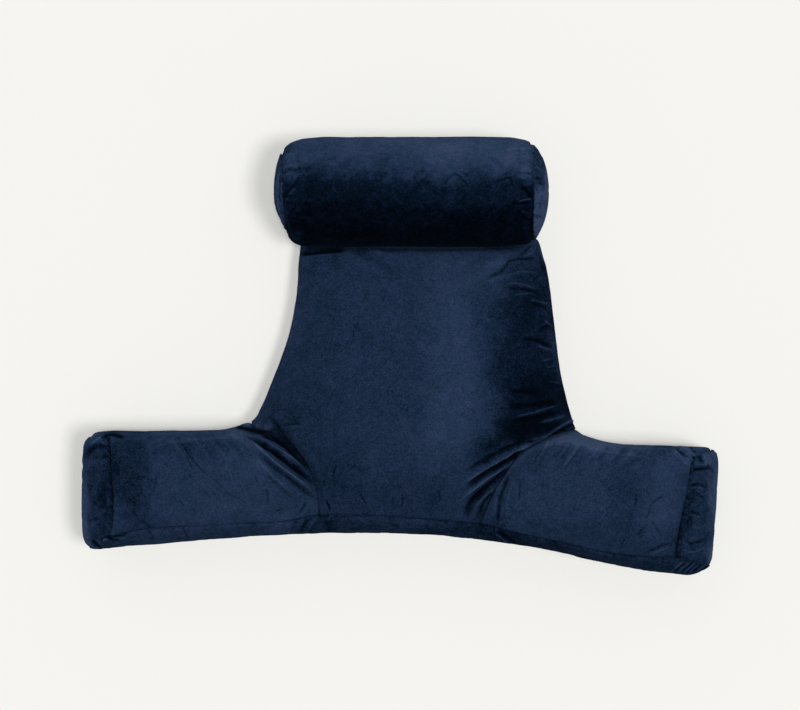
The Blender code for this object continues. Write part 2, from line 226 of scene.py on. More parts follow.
arm_seams = [raised(LEFT_END_SEAM), raised(RIGHT_END_SEAM), raised(FOOT_SEAM)]
SEAMS = arm_seams + [LEFT_JUNCTION, RIGHT_JUNCTION]
print("seam lengths:", [round(float(np.linalg.norm(np.diff(rounded(line), axis=0), axis=1).sum()), 3)
                        for line in SEAMS])

# %% [markdown]
# ## From a plain solid to a skin that can be shaped
# Each stuffed piece starts as a copy of its imported solid. The copy is merged, because the packed
# mesh is loose triangles, and remeshed into even small squares, so that cloth simulation and the
# listed folds find points everywhere. A little smoothing takes the flat facets away.

# %% Copy a solid and give it an even skin
SKIN = 0.004                  # side of a square of the stuffed pieces' skin, before subdivision


def new_piece(name, bm):
    mesh = bpy.data.meshes.new(name)
    bm.to_mesh(mesh)
    bm.free()
    mesh.shade_smooth()
    piece = bpy.data.objects.new(name, mesh)
    scene.collection.objects.link(piece)
    return piece


def merged_copy(node):
    bm = bmesh.new()
    bm.from_mesh(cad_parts[node].data)
    bmesh.ops.remove_doubles(bm, verts=bm.verts, dist=0.00001)
    return bm


def keep_result(piece):
    """Replace a piece's mesh by what its modifiers make of it now."""
    graph = bpy.context.evaluated_depsgraph_get()
    made = bpy.data.meshes.new_from_object(piece.evaluated_get(graph))
    old = piece.data
    piece.modifiers.clear()
    piece.data = made
    bpy.data.meshes.remove(old)
    made.name = piece.name
    made.shade_smooth()


def even_skin(name, node, smoothing):
    piece = new_piece(name, merged_copy(node))
    voxels = piece.modifiers.new("voxels", "REMESH")
    voxels.mode = "VOXEL"
    voxels.voxel_size = SKIN
    soften = piece.modifiers.new("soften", "SMOOTH")
    soften.factor = 0.5
    soften.iterations = smoothing
    keep_result(piece)
    print(name, "has", len(piece.data.vertices), "points")
    return piece


def mesh_points(mesh):
    points = np.empty(len(mesh.vertices) * 3)
    mesh.vertices.foreach_get("co", points)
    return points.reshape(-1, 3)


def read_points(piece):
    return mesh_points(piece.data)


def read_normals(piece):
    normals = np.empty(len(piece.data.vertices) * 3)
    piece.data.vertex_normals.foreach_get("vector", normals)
    return normals.reshape(-1, 3)


def write_points(piece, points):
    piece.data.vertices.foreach_set("co", points.ravel())
    piece.data.update()


backrest = even_skin("backrest_cushion", "backrest", smoothing=14)
arm_left = even_skin("arm_left_cushion", "arm_left", smoothing=10)
arm_right = even_skin("arm_right_cushion", "arm_right", smoothing=10)
neck_roll = even_skin("neck_roll_cushion", "neck_roll", smoothing=8)
CUSHIONS = [backrest, arm_left, arm_right, neck_roll]

# %% [markdown]
# ## Stuffing
# The filling of a real pillow presses the cover out between its seams, and the cover's little
# spare width gathers into puckers beside them. Blender's Cloth with inner pressure does the same:
# the seams, the flat underside and what the gussets cover are pinned, the rest starts a little
# slack, and twenty steps blow it tight. No point may travel far, so that the pillow keeps its size.

# %% Find what the gussets cover
COVER_REACH = 0.008           # farthest distance of a gusset from the filling that it covers
COVER_FADE = 0.004
OVER_FROM = 0.5               # share of a gusset's distance that lies along the point's normal, from
OVER_FADE = 0.3               # which it counts as over the point, and the width of the soft border
TOUCHING = 0.0002             # a smaller distance counts as this


def surface_of(*nodes):
    """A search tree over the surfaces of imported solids."""
    bm = bmesh.new()
    for node in nodes:
        bm.from_mesh(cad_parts[node].data)
    tree = BVHTree.FromBMesh(bm)
    bm.free()
    return tree


gussets = surface_of("bottom_gusset", "end_panel_left", "end_panel_right")


def covered_share(points, normals):
    """1 where a gusset or an end panel lies over a point, 0 away from it and beside its edge."""
    share = np.zeros(len(points))
    for number, (point, normal) in enumerate(zip(points, normals)):
        place, _, _, away = gussets.find_nearest(Vector(point), COVER_REACH)
        if place is not None:
            over = (np.array(place) - point) @ normal / max(away, TOUCHING)
            share[number] = ease((over - OVER_FROM) / OVER_FADE)
            share[number] *= ease((COVER_REACH - away) / COVER_FADE)
    return share


# %% Pin what is sewn
HELD_BESIDE_SEAM = 0.003
FREE_FROM_SEAM = 0.016        # width of the soft border between held and free; so are the fades
FLAT_UNDERSIDE = 0.004        # height below which the cover is held
FLAT_FADE = 0.012
SIDES_HELD = 0.15             # upward slope below which a wall is held by its seams
SIDES_FADE = 0.4
HEAD_HELD = 0.150             # y beyond which the neck roll holds the backrest's head down
HEAD_FADE = 0.03


def free_share(piece, points):
    """0 where the cover is held, 1 where it is free to swell."""
    free = ease((points[:, 2] - FLAT_UNDERSIDE) / FLAT_FADE)
    free *= ease((read_normals(piece)[:, 2] - SIDES_HELD) / SIDES_FADE)
    if piece is backrest:
        free *= ease((HEAD_HELD - points[:, 1]) / HEAD_FADE)
    if piece is neck_roll:
        for seam in ROLL_SEAMS:
            free *= ease((np.abs(points[:, 0] - seam) - HELD_BESIDE_SEAM) / FREE_FROM_SEAM)
        free[(points[:, 0] < ROLL_SEAMS[0]) | (points[:, 0] > ROLL_SEAMS[1])] = 0
        return free
    for line in SEAMS:
        part, away, _ = near_line(points, line, FREE_FROM_SEAM + HELD_BESIDE_SEAM)
        free[part] = np.minimum(free[part], ease((away - HELD_BESIDE_SEAM) / FREE_FROM_SEAM))
    return free * (1 - covered_share(points, read_normals(piece)))


# %% Let the filling swell
SLACK = 0.003                 # how far the free skin is let in before it swells
SWELL_LIMIT = 0.006           # farthest way of a point
SWELL_STEPS = 20
FILLING_PRESSURE = 4.0
SPARE_CLOTH = 0.012           # share by which the cover is cut larger than it is filled


def add_stuffing(piece, free):
    held = piece.vertex_groups.new(name="sewn")
    for number, share in enumerate(free):
        held.add([number], float(1 - share), "REPLACE")
    cloth = piece.modifiers.new("stuffing", "CLOTH")
    cloth.settings.quality = 4
    cloth.settings.use_pressure = True
    cloth.settings.uniform_pressure_force = FILLING_PRESSURE
    cloth.settings.effector_weights.gravity = 0
    cloth.settings.vertex_group_mass = "sewn"
    cloth.settings.shrink_min = -SPARE_CLOTH
    cloth.settings.bending_stiffness = 0.4
    cloth.point_cache.frame_end = SWELL_STEPS


def swell(pieces):
    starts = {}
    for piece in pieces:
        points = read_points(piece)
        free = free_share(piece, points)
        points -= read_normals(piece) * (SLACK * free)[:, None]
        write_points(piece, points)
        starts[piece] = points
        add_stuffing(piece, free)
    for step in range(1, SWELL_STEPS + 1):
        scene.frame_set(step)
    graph = bpy.context.evaluated_depsgraph_get()
    for piece in pieces:
        result = bpy.data.meshes.new_from_object(piece.evaluated_get(graph))
        way = mesh_points(result) - starts[piece]
        bpy.data.meshes.remove(result)
        length = np.linalg.norm(way, axis=1)
        way *= (np.minimum(length, SWELL_LIMIT) / np.maximum(length, 1e-9))[:, None]
        piece.modifiers.clear()
        piece.vertex_groups.clear()
        write_points(piece, starts[piece] + way)
        print(piece.name, "swells by up to", round(float(length.max()), 4),
              "m, on average", round(float(length.mean()), 4))
    scene.frame_set(1)


swell(CUSHIONS)

# %% Divide each square of the cushions once
for piece in CUSHIONS:
    finer = piece.modifiers.new("finer", "SUBSURF")
    finer.levels = 1
    finer.render_levels = 1
    keep_result(piece)
    print(piece.name, "now has", len(piece.data.polygons), "squares")

# %% [markdown]
# ## Edges beside the arms
# Voxels and swelling round every edge off, which opens a gap where an arm is sewn to the backrest.
# There the real cloth panels meet in one line. So points close to such a seam go back to the
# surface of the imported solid, which has the edge, and the farther ones go a share of the way.

# %% Close the seams between the arms and the backrest
EDGE_REACH = 0.022
EDGE_FADE = 0.6               # share of that reach over which the pull back to the solid dies away
CURTAIN_SHARES = (1.0, 0.8, 0.6, 0.4, 0.2)


def close_seam(piece, node, line):
    points = read_points(piece)
    tree = surface_of(node)
    part, away, _ = near_line(points, line, EDGE_REACH)
    share = ease((EDGE_REACH - away) / (EDGE_FADE * EDGE_REACH))
    for number, pull in zip(part, share):
        place = tree.find_nearest(Vector(points[number]))[0]
        points[number] += (np.array(place) - points[number]) * pull
    write_points(piece, points)
    print(piece.name, "is drawn to its solid at", len(part), "points")


def curtain(line):
    """A seam's line repeated at lower heights, down to the surface below."""
    return [[(x, y, z * share) for x, y, z in line] for share in CURTAIN_SHARES]


for junction, arm, node in ((LEFT_JUNCTION, arm_left, "arm_left"),
                            (RIGHT_JUNCTION, arm_right, "arm_right")):
    for line in curtain(junction):
        close_seam(backrest, "backrest", line)
        close_seam(arm, node, line)

# %% [markdown]
# ## Folds, seams and the lie of the pile
# The folds of this cover are not random: the arms are spread wide, so the cloth is gathered into
# long folds where each arm joins the backrest, and short puckers run in from the tight edges.
# Every fold is one row of a table: a line on the plan, how wide and how high it is (a valley has
# a minus), and how much it darkens or lightens the velvet: painted shade in the valleys and a
# painted highlight on the ridges. Large patches paint light and shade into the velvet's colour as
# well, besides the pile's own differences in tone. The rows push the points along their normals and
# add up a shade for each point, which the velvet reads. Noise makes the edges of the patches
# ragged. A fold less than three millimetres wide needs a finer skin than the rest, so the squares
# beside such folds and beside the seams are divided first.

# %% Write folds and patches in small units
def fold_rows(rows):
    """Rows of width, height, shade and points, turned to (points, width, height, shade).

    Lengths are given in tenths of a millimetre and shades in hundredths.
    """
    return [([(x / 10000, y / 10000) for x, y in line], width / 10000, height / 10000, shade / 100)
            for width, height, shade, *line in rows]


def patch_rows(rows):
    """Rows of centre, half lengths, turn, softness and shade.

    Lengths are given in millimetres, turns in degrees, softness and shades in hundredths.
    """
    return [((x / 1000, y / 1000), (long / 1000, wide / 1000), turn, softness / 100, shade / 100)
            for (x, y), (long, wide), turn, softness, shade in rows]


print("a valley 2 mm wide and 1 mm deep:", fold_rows([(20, -10, -20, (0, 0), (150, 0))])[0])

# %% Make a finer skin beside seams and narrow folds
NARROW = 0.0030               # a fold as wide as this needs no finer skin
FOLD_REACH = 0.0055           # how far the finer skin reaches beside a narrow fold
SEAM_REACH = 0.006            # and beside a seam
FINE_FROM = 0.02              # height below which the skin stays as it is


def refine(piece, lines, reach):
    """Divide the squares whose points all lie within reach of one of the lines on the plan."""
    points = read_points(piece)
    near = np.zeros(len(points), dtype=bool)
    for line in lines:
        part, away, _ = near_line(points[:, :2], np.array(line)[:, :2], reach)
        near[part[away < reach]] = True
    near &= points[:, 2] > FINE_FROM
    bm = bmesh.new()
    bm.from_mesh(piece.data)
    bm.verts.ensure_lookup_table()
    edges = [edge for edge in bm.edges
             if near[edge.verts[0].index] and near[edge.verts[1].index]]
    bmesh.ops.subdivide_edges(bm, edges=edges, cuts=1, use_grid_fill=True)
    bm.to_mesh(piece.data)
    bm.free()
    piece.data.shade_smooth()
    print(piece.name, "has", len(points), "points, then", len(piece.data.vertices))


def refine_folds(piece, rows):
    refine(piece, [line for line, width, _, _ in rows if width < NARROW], FOLD_REACH)


# %% Lay folds and shades on a skin
UPPER_FROM = 0.015            # height from which folds and shades show
UPPER_FADE = 0.02
SIDE_SHARE = 0.15             # how much of a fold's height is left where it runs over a side
SIDE_SLOPE = 0.05             # upward slope of such a side
SIDE_FADE = 0.5
WANDER = 0.008                # how far a patch's edge strays in long waves
FLUTTER = 0.004               # and in short ones
PROFILE_REACH = 2.5           # widths at which the profile of a fold or seam has died away
FADE_IN = 0.18                # shares of its line over which a fold starts and ends
FADE_OUT = 0.3
RIM_CLEAR = 0.028             # no rim is shaded nearer than this to a line it keeps clear of
RIM_FADE = 0.8                # a rim's usual fade, as a share of its slope
BEND_SLOPE = 0.70             # upward slope above which a wall's bend has ended
BEND_FADE = 0.45


def strays(points, size, seeds):
    """Two ripples, to move points by along X and Y."""
    return np.stack([ripple(points, size, seed) for seed in seeds], axis=1)


class Skin:
    """A piece's points while folds and shades are laid on it."""

    def __init__(self, piece):
        self.piece = piece
        self.points = read_points(piece)
        self.normals = read_normals(piece)
        self.shade = np.zeros(len(self.points))
        self.upper = ease((self.points[:, 2] - UPPER_FROM) / UPPER_FADE)
        facing = ease((self.normals[:, 2] - SIDE_SLOPE) / SIDE_FADE)
        self.facing = SIDE_SHARE + (1 - SIDE_SHARE) * facing
        self.wander = (WANDER * strays(self.points, size=0.030, seeds=(3.1, 7.7))
                       + FLUTTER * strays(self.points, size=0.009, seeds=(1.3, 9.2)))

    def push(self, part, heights):
        self.points[part] += self.normals[part] * heights[:, None]

    def push_all(self, heights):
        self.points += self.normals * heights[:, None]

    # The shade of a fold row is painted shade, or a painted highlight where it is positive.
    def folds(self, rows):
        """Rows of line, width, height and shade; a fold fades in and out along its line."""
        for line, width, height, shade in rows:
            part, away, way = near_line(self.points[:, :2], line, PROFILE_REACH * width)
            profile = np.exp(-(away / width) ** 2) * ease(way / FADE_IN) * ease((1 - way) / FADE_OUT)
            profile *= self.upper[part]
            self.push(part, height * profile * self.facing[part])
            self.shade[part] += shade * profile

    def seams(self, lines, width, depth, shade):
        """Grooves with painted shade along lines of (x, y, z), as deep and dark at their ends as in
        their middle.
        """
        for line in lines:
            part, away, _ = near_line(self.points, line, PROFILE_REACH * width)
            profile = np.exp(-(away / width) ** 2)
            self.push(part, -depth * profile)
            self.shade[part] += shade * profile

    def patches(self, rows):
        """Rows of centre, half lengths, turn, softness and shade; ragged ovals, partly painted light
        and shade.
        """
        for centre, halves, turn, softness, shade in rows:
            way = self.points[:, :2] + self.wander - np.array(centre)
            angle = math.radians(turn)
            turned = np.stack([way[:, 0] * math.cos(angle) + way[:, 1] * math.sin(angle),
                               way[:, 1] * math.cos(angle) - way[:, 0] * math.sin(angle)], axis=1)
            out = np.linalg.norm(turned / np.array(halves), axis=1)
            self.shade += shade * ease((1 + softness - out) / (2 * softness)) * self.upper

    def lumps(self, size, height, seed):
        """Unevenness of the filling, none on the flat underside."""
        self.push_all(height * ripple(self.points, size, seed) * self.upper)

    def rim(self, dark, light, steep, clear_of=None, fade=None):
        """Paints shade on walls steeper than a slope and a highlight on the bend above, except beside a
        line.

        The fade is the change of slope over which either dies away.
        """
        fade = fade or RIM_FADE * steep
        slope = self.normals[:, 2]
        share = self.upper.copy()
        if clear_of is not None:
            part, away, _ = near_line(self.points, clear_of, RIM_CLEAR)
            share[part] *= ease(away / RIM_CLEAR)
        self.shade += dark * ease((steep - slope) / fade) * share
        bend = light * ease((slope - steep + fade) / fade) * ease((BEND_SLOPE - slope) / BEND_FADE)
        self.shade += bend * share

    def nudge(self, rows):
        """Rows of centre, reach and sideways move; stretches a corner of the outline."""
        for centre, reach, move in rows:
            away = np.linalg.norm(self.points[:, :2] - np.array(centre), axis=1)
            self.points[:, :2] += ease(1 - away / reach)[:, None] * np.array(move)

    def keep(self):
        self.points[:, 2] = np.maximum(self.points[:, 2], 0.0)
        write_points(self.piece, self.points)
        mesh = self.piece.data
        layer = mesh.attributes.get("shade") or mesh.attributes.new("shade", "FLOAT", "POINT")
        layer.data.foreach_set("value", self.shade.astype(np.float32))
        print(self.piece.name, "shades from", round(float(self.shade.min()), 2),
              "to", round(float(self.shade.max()), 2))


# %% [markdown]
# ## The backrest
# Its front is nearly smooth. Beside the right arm the cloth is pulled into sharp ridges with deep
# valleys between them, which fan out from where the arm's upper edge meets the side. Puckers run
# in from the right side, and one crease lies under the roll. A broad band is painted light, and to
# its right, where the front slopes down to the side, painted shade makes the velvet almost black.

# %% List the backrest's folds
BACKREST_FOLDS = fold_rows([
    # width, height, shade, points (x, y) along the line
    # Beside the left arm's upper edge.
    (24, 8, 50, (-2553, -982), (-2380, -989), (-2237, -1001), (-2094, -1027), (-1979, -1055),
     (-1864, -1081), (-1706, -1119)),
    (30, -10, -22, (-1864, -875), (-1821, -946), (-1764, -1018), (-1692, -1090)),
    # Ridges, and the valleys between them, that fan out from the right arm's upper edge.
    (20, 32, 54, (2667, -932), (2553, -955), (2452, -975), (2352, -1015), (2251, -1067),
     (2165, -1116), (2094, -1159), (2022, -1202), (1936, -1250), (1821, -1305)),
    (17, -45, -44, (2581, -968), (2438, -1032), (2352, -1070), (2280, -1107), (2208, -1147),
     (2137, -1196)),
    (15, 16, 22, (2122, -1147), (1979, -1193), (1850, -1219), (1721, -1233), (1606, -1262),
     (1463, -1314)),
    (40, -40, -34, (1979, -1199), (1778, -1242), (1663, -1282), (1563, -1328), (1477, -1374),
     (1391, -1420), (1305, -1468), (1219, -1514), (1133, -1557), (1018, -1620), (889, -1692)),
    (19, 50, 50, (1979, -1219), (1893, -1262), (1807, -1305), (1721, -1351), (1635, -1401),
     (1549, -1453), (1463, -1499), (1377, -1547), (1291, -1595), (1205, -1645), (1119, -1695),
     (1018, -1758), (926, -1821), (812, -1907)),
    (42, -78, -58, (1821, -1371), (1721, -1417), (1635, -1466), (1563, -1511), (1477, -1557),
     (1405, -1597), (1319, -1646), (1248, -1686), (1176, -1732), (1104, -1778), (1018, -1844),
     (918, -1922)),
    (21, 42, 42, (1606, -1520), (1506, -1600), (1434, -1649), (1362, -1692), (1291, -1735),
     (1233, -1770), (1176, -1813), (1119, -1858), (1061, -1899), (1004, -1950), (946, -2008),
     (875, -2094)),
    (40, -66, -50, (1606, -1592), (1520, -1663), (1463, -1721), (1405, -1772), (1348, -1818),
     (1291, -1861), (1233, -1907), (1176, -1953), (1119, -2008), (1061, -2065), (1018, -2122),
     (975, -2223), (946, -2423)),
    (18, 30, 26, (1377, -1879), (1305, -1936), (1233, -1993), (1176, -2056), (1119, -2117),
     (1083, -2194), (1061, -2309)),
    (18, -26, -30, (1319, -1965), (1283, -2015), (1248, -2065), (1190, -2137), (1162, -2208),
     (1147, -2309)),
    (26, -30, -40, (1922, -1319), (1821, -1371), (1721, -1417), (1635, -1466), (1549, -1514),
     (1463, -1557), (1362, -1612)),
    # Puckers that run in from the right side.
    (16, 14, 16, (2008, -946), (2122, -935), (2237, -903), (2337, -880), (2466, -860)),
    (20, -22, -26, (1205, 1075), (1319, 1147), (1477, 1226), (1606, 1369), (1864, 1398),
     (2079, 1391)),
    (18, 24, 20, (1233, 1047), (1405, 1111), (1577, 1154), (1778, 1205), (2079, 1162)),
    (14, 24, 30, (1520, 1032), (1749, 1018), (2022, 932)),
    (20, -26, -24, (1549, 975), (1778, 954), (2051, 875)),
    (13, 18, 24, (1635, 863), (1979, 903)),
    (14, 24, 30, (1864, 803), (2194, 731)),
    (22, -24, -20, (1893, 746), (2194, 667)),
    (14, 20, 30, (2094, 502), (2237, 380)),
    (16, -16, -22, (2008, 301), (2094, 409), (2223, 416)),
    (22, -26, -30, (1749, 229), (1993, 208), (2251, 72)),
    (14, 22, 34, (1950, 139), (2251, 50)),
    (18, 16, 24, (2022, -93), (2223, -50)),
    (14, 14, 22, (2122, -186), (2266, -151)),
    (14, 18, 26, (2122, -373), (2337, -416)),
    (34, -26, -18, (1549, -523), (2079, -523)),
    (30, -26, -24, (1520, -746), (1979, -710), (2337, -631)),
    (16, 26, 36, (1635, -896), (1986, -810), (2366, -703)),
    (26, -26, -26, (1549, -961), (1979, -889), (2380, -796)),
    (14, 24, 34, (1922, -994), (2180, -939), (2452, -875)),
    # The crease under the roll, the painted shadow of the roll in the two flat rows, and the soft folds
    # below it.
    (26, -50, -62, (-1520, 1463), (-1391, 1480), (-1276, 1491), (-1162, 1503), (-1032, 1514),
     (-889, 1523), (-717, 1534)),
    (48, 0, -30, (-1491, 1556), (-1348, 1556), (-1176, 1556), (-918, 1556), (-688, 1556)),
    (36, 0, -24, (-1004, 1556), (-574, 1542), (0, 1527), (717, 1527), (1434, 1549), (2079, 1606)),
    (60, -26, -9, (-760, 1563), (-445, 1434), (50, 1162)),
    (50, 22, 6, (-860, 1635), (-502, 1563), (-143, 1405)),
    (40, -16, -7, (-1520, 1190), (-1291, 1197), (-989, 1190)),
    (26, 14, 7, (-1563, 951), (-1405, 1004), (-1248, 1090)),
    (16, 18, 22, (1807, 1420), (1936, 1506), (1993, 1606)),
    (20, -22, -18, (1735, 1448), (1864, 1563), (1922, 1606)),
    # Along the right side.
    (70, 0, 20, (2194, 416), (2223, 215), (2266, -14), (2323, -301), (2380, -617)),
    (34, 0, -18, (1922, 1592), (1993, 1491), (2036, 1391), (2079, 1262), (2108, 1133)),
    # Short creases in the pile.
    (12, -8, -22, (-574, -1965), (-531, -2051), (-473, -2151)),
    (12, -8, -22, (14, -1965), (43, -2079), (0, -2194)),
    (11, -6, -18, (-115, -2036), (-86, -2122)),
    (12, -6, -16, (531, -1907), (574, -2022), (545, -2122)),
    (11, -4, -22, (-674, 358), (-660, 229)),
    (10, -4, -20, (-143, 100), (-100, 14)),
    (10, -4, -20, (602, 14), (660, -86)),
    (10, -4, -20, (889, -445), (918, -559)),
    (10, -4, -20, (1018, -760), (1090, -846)),
    (13, -6, -26, (-903, -1549), (-946, -1678), (-982, -1764)),
    (12, -6, -22, (-1104, -1792), (-1061, -1879)),
    (16, -10, -34, (-1061, -2065), (-1018, -2151), (-1004, -2251)),
    # Where the left arm's upper edge meets the side.
    (18, -12, -12, (-1735, -989), (-1577, -989), (-1405, -969)),
    (16, 10, 10, (-1706, -1040), (-1520, -1030), (-1305, -1030)),
])
print("folds on the backrest:", len(BACKREST_FOLDS))

# %% List the backrest's patches of painted light and shade and of pile tone
BACKREST_PATCHES = patch_rows([
    # centre (x, y), half lengths, turn, softness, shade
    ((218, 10), (86, 124), 3, 46, -28),
    ((176, 128), (40, 16), 0, 60, -3),
    ((200, -70), (56, 40), 6, 45, -12),
    ((190, -104), (56, 16), -6, 50, -16),
    ((150, 115), (14, 30), -30, 60, 6),
    ((78, -15), (36, 150), 2, 60, 12),
    ((47, -115), (16, 46), 0, 70, 9),
    ((103, -143), (56, 20), 47, 70, -7),
    ((180, -109), (46, 12), 6, 60, -12),
    ((142, -119), (36, 14), 24, 60, -13),
    ((214, 69), (8, 30), 0, 60, 10),
    ((202, 145), (12, 12), 0, 60, 10),
    # This row is painted shadow under the roll's edge.
    ((152, 159), (30, 6), 0, 60, -10),
    ((-109, 139), (20, 12), 0, 60, -10),
    ((-155, 50), (10, 34), 0, 60, 10),
    ((138, 133), (12, 8), 0, 60, 12),
    ((124, 121), (32, 13), 30, 70, 12),
    ((150, -54), (11, 40), 0, 70, -8),
    ((-140, -75), (50, 45), 0, 80, -4.5),
    ((150, -127), (30, 12), 20, 70, -14),
    ((130, -232), (24, 30), 0, 60, -12),
    ((-165, -88), (22, 22), 0, 60, -8),
    ((-70, -20), (90, 140), 0, 80, -4),
    ((20, -205), (160, 45), 0, 60, -6),
    ((-90, -175), (30, 60), 10, 70, -6),
])
print("patches on the backrest:", len(BACKREST_PATCHES))

# %% Fold and shade the backrest
RECESS = 0.0015               # how far the filling is pressed in below a gusset
# Nudges move a corner of the outline: centre (x, y), reach and move. These two deepen the notch
# between the left arm's upper edge and the backrest's side, and so they are used for both pieces.
NOTCH = [
    ((-0.2060, -0.1010), 0.024, (0.0010, -0.0066)),
    ((-0.1900, -0.1050), 0.015, (0.0, -0.0034)),
]
HEAD_CORNERS = [
    ((0.194, 0.162), 0.026, (0.0016, 0.0056)),
    ((-0.141, 0.160), 0.022, (0.0, 0.0045)),
    ((-0.2140, -0.0940), 0.010, (0.0012, 0.0010)),
    *NOTCH,
    ((0.2510, -0.1040), 0.010, (-0.0012, 0.0008)),
]

refine_folds(backrest, BACKREST_FOLDS)
refine(backrest, [FOOT_SEAM], SEAM_REACH)
skin = Skin(backrest)
skin.nudge(HEAD_CORNERS)
skin.push_all(-RECESS * covered_share(skin.points, skin.normals))
skin.lumps(size=0.070, height=0.0016, seed=2.0)
skin.lumps(size=0.018, height=0.0003, seed=4.0)
# The folds, seams, patches and rim paint shade and highlights into the velvet's colour.
skin.folds(BACKREST_FOLDS)
skin.seams([raised(FOOT_SEAM)], width=0.0014, depth=0.0014, shade=-0.08)
skin.seams([LEFT_JUNCTION[2:-2]], width=0.0018, depth=0.0006, shade=-0.30)
skin.seams([RIGHT_JUNCTION[3:-1]], width=0.0014, depth=0.0006, shade=-0.10)
skin.patches(BACKREST_PATCHES)
skin.rim(dark=-0.28, light=0.0, steep=0.24, clear_of=LEFT_JUNCTION[:3])
skin.keep()

# %% [markdown]
# ## The arms
# On the left arm three long folds run from the upper edge down to the backrest, and the backrest's
# edge stands over them. The right arm is pulled smooth and full against the backrest; only fine
# lines fan out over it.

# %% List the left arm's folds and patches
# This fold runs over the seam at the arm's end, so the end panel has it too.
LEFT_CORNER_FOLD = (26, -14, -60, (-4288, -1176), (-4202, -1150), (-4130, -1141),
                    (-4044, -1153), (-3929, -1183))

LEFT_ARM_FOLDS = fold_rows([
    # width, height, shade, points (x, y) along the line
    # Along the upper edge, then the long folds down to the backrest, valley and ridge in turn.
    (20, 12, 62, (-2553, -984), (-2380, -989), (-2237, -998), (-2094, -1021), (-1979, -1050),
     (-1850, -1075)),
    (27, -80, -82, (-2466, -1015), (-2337, -1035), (-2237, -1050), (-2151, -1070), (-2065, -1096),
     (-1979, -1121), (-1893, -1153), (-1807, -1190), (-1721, -1236), (-1620, -1305),
     (-1506, -1405)),
    (34, -60, -60, (-1979, -1061), (-1864, -1119), (-1764, -1176), (-1678, -1242), (-1606, -1311),
     (-1549, -1371), (-1491, -1425), (-1420, -1500), (-1334, -1592), (-1248, -1692)),
    (40, -10, -30, (-1836, -1090), (-1749, -1119), (-1663, -1190), (-1577, -1283), (-1491, -1384),
     (-1405, -1491)),
    (14, 30, 16, (-2352, -1083), (-2251, -1110), (-2151, -1139), (-2051, -1176), (-1950, -1213),
     (-1879, -1256), (-1807, -1302), (-1735, -1348), (-1649, -1402), (-1577, -1451),
     (-1506, -1506), (-1434, -1566), (-1362, -1626), (-1276, -1699)),
    (38, -80, -66, (-2294, -1070), (-2208, -1116), (-2122, -1162), (-2051, -1202), (-1979, -1245),
     (-1907, -1291), (-1821, -1348), (-1735, -1411), (-1656, -1474), (-1585, -1529),
     (-1520, -1580), (-1448, -1635), (-1377, -1692), (-1305, -1755), (-1233, -1827),
     (-1147, -1922)),
    (21, 42, 36, (-2194, -1183), (-2122, -1230), (-2036, -1305), (-1965, -1368), (-1893, -1431),
     (-1821, -1497), (-1749, -1557), (-1678, -1615), (-1606, -1666), (-1534, -1721),
     (-1463, -1775), (-1391, -1833), (-1319, -1893), (-1248, -1950), (-1162, -2022)),
    (30, -40, -28, (-2065, -1348), (-1979, -1425), (-1893, -1506), (-1821, -1569), (-1735, -1632),
     (-1649, -1692), (-1577, -1749), (-1506, -1807), (-1434, -1864), (-1348, -1936),
     (-1262, -2013), (-1133, -2137)),
    (24, 20, 20, (-2079, -1448), (-2008, -1520), (-1936, -1592), (-1864, -1663), (-1792, -1749),
     (-1721, -1807), (-1649, -1873), (-1577, -1922), (-1491, -1993)),
    (20, -10, -12, (-1922, -1685), (-1836, -1764), (-1749, -1843), (-1663, -1916), (-1577, -2008),
     (-1477, -2122)),
    (30, 20, 12, (-2466, -1097), (-2323, -1169), (-2122, -1305)),
    # Short creases in the pile.
    (12, -8, -17, (-3097, -1276), (-2997, -1420), (-2854, -1592), (-2682, -1749)),
    (12, -8, -14, (-2753, -1678), (-2553, -1850), (-2409, -1993), (-2165, -2122), (-2051, -2208)),
    (12, -8, -16, (-3040, -1391), (-2983, -1549), (-2925, -1649)),
    (12, -8, -18, (-3700, -2352), (-3628, -2409), (-3556, -2495)),
    (13, -8, -18, (-3140, -2065), (-3054, -2173)),
    (13, -8, -18, (-2940, -2180), (-2911, -2280)),
    (12, -6, -12, (-2811, -1907), (-2667, -2051)),
    (12, -6, -14, (-3399, -1477), (-3284, -1620)),
    (12, -6, -12, (-3470, -1735), (-3499, -1907)),
    (12, -6, -12, (-3097, -1176), (-2911, -1348)),
    (13, -8, -16, (-3900, -2036), (-3714, -2165)),
    (12, -6, -16, (-3814, -2208), (-3714, -2380)),
    (14, -10, -26, (-1907, -1893), (-1879, -2022), (-1893, -2151)),
    (13, -8, -20, (-2072, -1706), (-2008, -1836)),
    (13, -10, -24, (-1326, -2086), (-1391, -2194), (-1456, -2294)),
    (13, -6, -14, (-1850, -2337), (-1678, -2165)),
    (12, -6, -12, (-2237, -1190), (-2151, -1276)),
    # Round the outer upper corner and along the upper edge.
    LEFT_CORNER_FOLD,
    (45, 0, -25, (-4417, -1096), (-4130, -1093), (-3900, -1096), (-3470, -1110)),
])
LEFT_ARM_PATCHES = patch_rows([
    # centre (x, y), half lengths, turn, softness, shade
    ((-388, -165), (34, 50), -10, 40, -17),
    ((-409, -154), (6, 18), 0, 60, -10),
    ((-170, -240), (30, 14), 0, 60, 10),
    ((-419, -208), (14, 18), 0, 60, -17),
    ((-195, -150), (12, 10), 0, 60, 10),
    ((-374, -222), (24, 32), -8, 40, -12),
    ((-399, -214), (8, 12), -30, 60, 10),
    ((-290, -130), (50, 22), 0, 70, -5),
    ((-270, -200), (90, 50), 0, 60, 6),
    ((-245, -228), (110, 24), 4, 60, 8),
    ((-215, -150), (30, 36), 0, 60, 7),
    ((-232, -116), (26, 14), -20, 60, 10),
])
print("on the left arm:", len(LEFT_ARM_FOLDS), "folds,", len(LEFT_ARM_PATCHES), "patches")

# %% List the right arm's folds and patches
# This one too.
RIGHT_CORNER_FOLD = (18, -18, -34, (4144, -1291), (4187, -1334), (4230, -1384), (4273, -1434))

